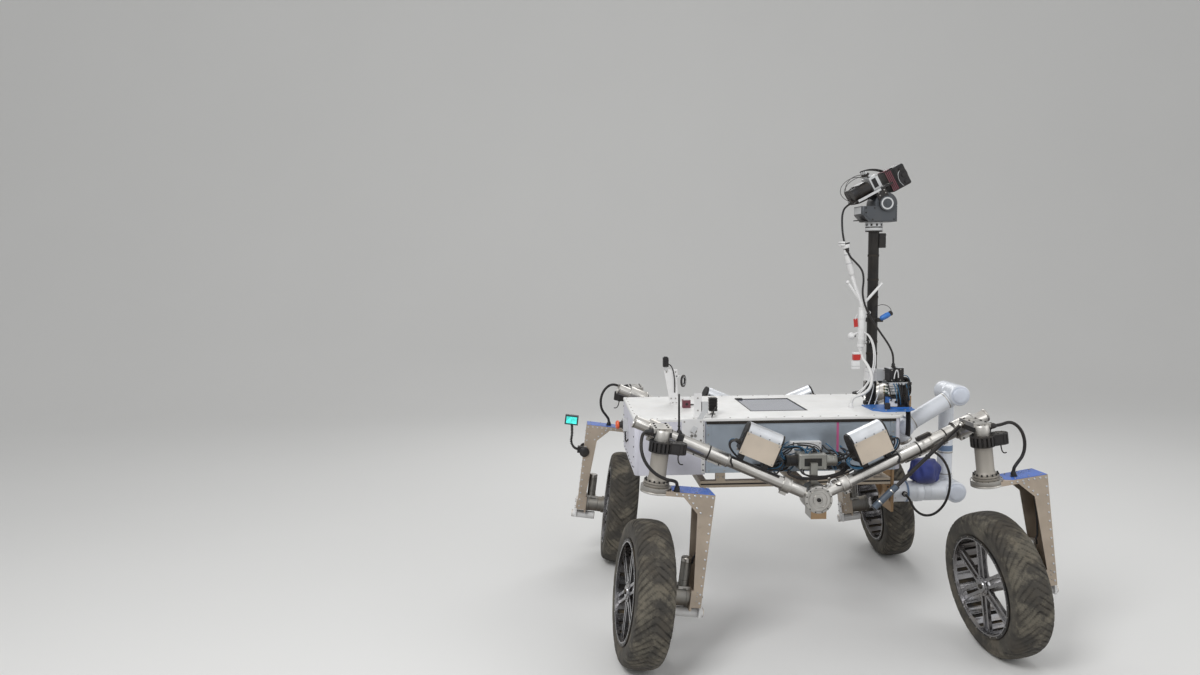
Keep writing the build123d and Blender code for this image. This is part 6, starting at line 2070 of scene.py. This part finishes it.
class ROVER_OT_rims(bpy.types.Operator):
    """Builds the four slotted drum rims"""

    bl_idname = "rover.rims"
    bl_label = "Rims"

    def execute(self, context):
        sizes = shared(context)
        for name in CORNERS:
            make_rim(name, sizes)
        return {"FINISHED"}


class ROVER_OT_legs(bpy.types.Operator):
    """Finishes the sheet-metal legs and adds film, rivets and guards"""

    bl_idname = "rover.legs"
    bl_label = "Legs"

    def execute(self, context):
        sizes = shared(context)
        for name in CORNERS:
            dress_node("leg_" + name, "leg_sheet", sizes.edge_round * .6)
            make_leg_details(name, sizes)
        return {"FINISHED"}


class ROVER_OT_wheel_drives(bpy.types.Operator):
    """Builds the gearboxes and motors that drive the wheels"""

    bl_idname = "rover.wheel_drives"
    bl_label = "Wheel Drives"

    def execute(self, context):
        shared(context)
        for name in CORNERS:
            make_wheel_drive(name)
        return {"FINISHED"}


class ROVER_OT_steer_drives(bpy.types.Operator):
    """Builds the steering drives and their clamp blocks"""

    bl_idname = "rover.steer_drives"
    bl_label = "Steering Drives"

    def execute(self, context):
        shared(context)
        for name in CORNERS:
            make_steer_drive(name)
        return {"FINISHED"}


class ROVER_OT_rockers(bpy.types.Operator):
    """Finishes the rocker tubes and adds discs, ears and rings"""

    bl_idname = "rover.rockers"
    bl_label = "Rockers"

    def execute(self, context):
        shared(context)
        for side in ("right", "left"):
            dress_node("rocker_" + side, "tube", .0008)
            make_rocker_details(side)
        return {"FINISHED"}


class ROVER_OT_body(bpy.types.Operator):
    """Finishes the body, its lid, window, panels and rear cover"""

    bl_idname = "rover.body"
    bl_label = "Body"

    def execute(self, context):
        sizes = shared(context)
        # node, finish, rounding
        for node, finish, rounding in (
            ("body_tub", "cover_paint", sizes.edge_round),
            ("deck_lid", "paint", sizes.edge_round),
            ("deck_window", "window", .0004),
            ("side_panels", "panel", .0008),
            ("rear_cover", "cover_paint", sizes.edge_round * 2),
            ("battery_pack", "black", sizes.edge_round),
            ("underframe", "frame_rail", .0008),
            ("arm_bracket", "bronze", .0008),
        ):
            dress_node(node, finish, rounding)
        make_body_trim()
        make_frame_trim()
        return {"FINISHED"}


class ROVER_OT_controllers(bpy.types.Operator):
    """Builds the covers, plates and plugs of the motor controllers"""

    bl_idname = "rover.controllers"
    bl_label = "Motor Controllers"

    def execute(self, context):
        shared(context)
        dress_node("motor_controllers", "black", .0008)
        spread = random.Random(11)
        for left, fore in product(SIDES, SIDES):
            make_controller(fore, left, spread)
        return {"FINISHED"}


class ROVER_OT_junctions(bpy.types.Operator):
    """Finishes the junction boxes and adds their lead bundles"""

    bl_idname = "rover.junctions"
    bl_label = "Junction Boxes"

    def execute(self, context):
        sizes = shared(context)
        dress_node("junction_boxes", "tinned")
        spread = random.Random(5)
        for left in SIDES:
            make_junction(left, sizes, spread)
        return {"FINISHED"}


class ROVER_OT_mast(bpy.types.Operator):
    """Finishes the mast and adds its mount, clamps and ties"""

    bl_idname = "rover.mast"
    bl_label = "Mast"

    def execute(self, context):
        shared(context)
        dress_node("mast", "dark", .0006)
        make_mast_trim()
        return {"FINISHED"}


class ROVER_OT_head(bpy.types.Operator):
    """Finishes the pan unit and the camera head with their details"""

    bl_idname = "rover.head"
    bl_label = "Camera Head"

    def execute(self, context):
        shared(context)
        dress_node("mast_pan_unit", "grey_paint", .0012)
        dress_node("camera_head", "black", .0008)
        make_pan_details()
        make_head_details()
        return {"FINISHED"}


class ROVER_OT_boom(bpy.types.Operator):
    """Finishes the cable boom and adds its rings and tags"""

    bl_idname = "rover.boom"
    bl_label = "Cable Boom"

    def execute(self, context):
        shared(context)
        dress_node("cable_boom", "white", .0006)
        make_boom_details()
        return {"FINISHED"}


class ROVER_OT_arm(bpy.types.Operator):
    """Builds the shells of the robot arm and its soft hood"""

    bl_idname = "rover.arm"
    bl_label = "Robot Arm"

    def execute(self, context):
        shared(context)
        make_arm_base()
        make_hood()
        make_arm()
        return {"FINISHED"}


class ROVER_OT_electronics(bpy.types.Operator):
    """Builds the boards, radio and boxes at the mast's foot"""

    bl_idname = "rover.electronics"
    bl_label = "Electronics"

    def execute(self, context):
        shared(context)
        make_stack(random.Random(23))
        return {"FINISHED"}


class ROVER_OT_fittings(bpy.types.Operator):
    """Builds the deck's fittings, stop button, antenna, conduit and action camera"""

    bl_idname = "rover.fittings"
    bl_label = "Fittings"

    def execute(self, context):
        shared(context)
        make_deck_fittings()
        make_stop_button()
        make_tube_fittings()
        dress_node("conduit", "black", .0004)
        make_conduit_trim()
        make_action_camera()
        return {"FINISHED"}


class ROVER_OT_stage(bpy.types.Operator):
    """Adds the pale floor, backdrop and soft lamps"""

    bl_idname = "rover.stage"
    bl_label = "Stage"

    def execute(self, context):
        make_stage()
        return {"FINISHED"}


OPERATORS = (
    ROVER_OT_camera, ROVER_OT_leads, ROVER_OT_tyres, ROVER_OT_rims, ROVER_OT_legs, ROVER_OT_wheel_drives,
    ROVER_OT_steer_drives, ROVER_OT_rockers, ROVER_OT_body, ROVER_OT_controllers, ROVER_OT_junctions, ROVER_OT_mast,
    ROVER_OT_head, ROVER_OT_boom, ROVER_OT_arm, ROVER_OT_electronics, ROVER_OT_fittings, ROVER_OT_stage,
)


class ROVER_PT_pieces(bpy.types.Panel):
    bl_idname = "ROVER_PT_pieces"
    bl_label = "Rover"
    bl_space_type = "VIEW_3D"
    bl_region_type = "UI"
    bl_category = "Rover"

    def draw(self, context):
        layout = self.layout
        for group in (context.scene.rover_sizes, context.scene.rover_colours):
            box = layout.box()
            for name in group.__annotations__:
                box.prop(group, name)
        for operator in OPERATORS:
            layout.operator(operator.bl_idname)


CLASSES = (RoverSizes, RoverColours, *OPERATORS, ROVER_PT_pieces)


def register():
    for item in CLASSES:
        bpy.utils.register_class(item)
    bpy.types.Scene.rover_sizes = PointerProperty(type=RoverSizes)
    bpy.types.Scene.rover_colours = PointerProperty(type=RoverColours)


def unregister():
    del bpy.types.Scene.rover_colours
    del bpy.types.Scene.rover_sizes
    for item in reversed(CLASSES):
        bpy.utils.unregister_class(item)


def main():
    register()
    for operator in OPERATORS:
        group, name = operator.bl_idname.split(".")
        getattr(getattr(bpy.ops, group), name)()


if __name__ == "__main__":
    main()
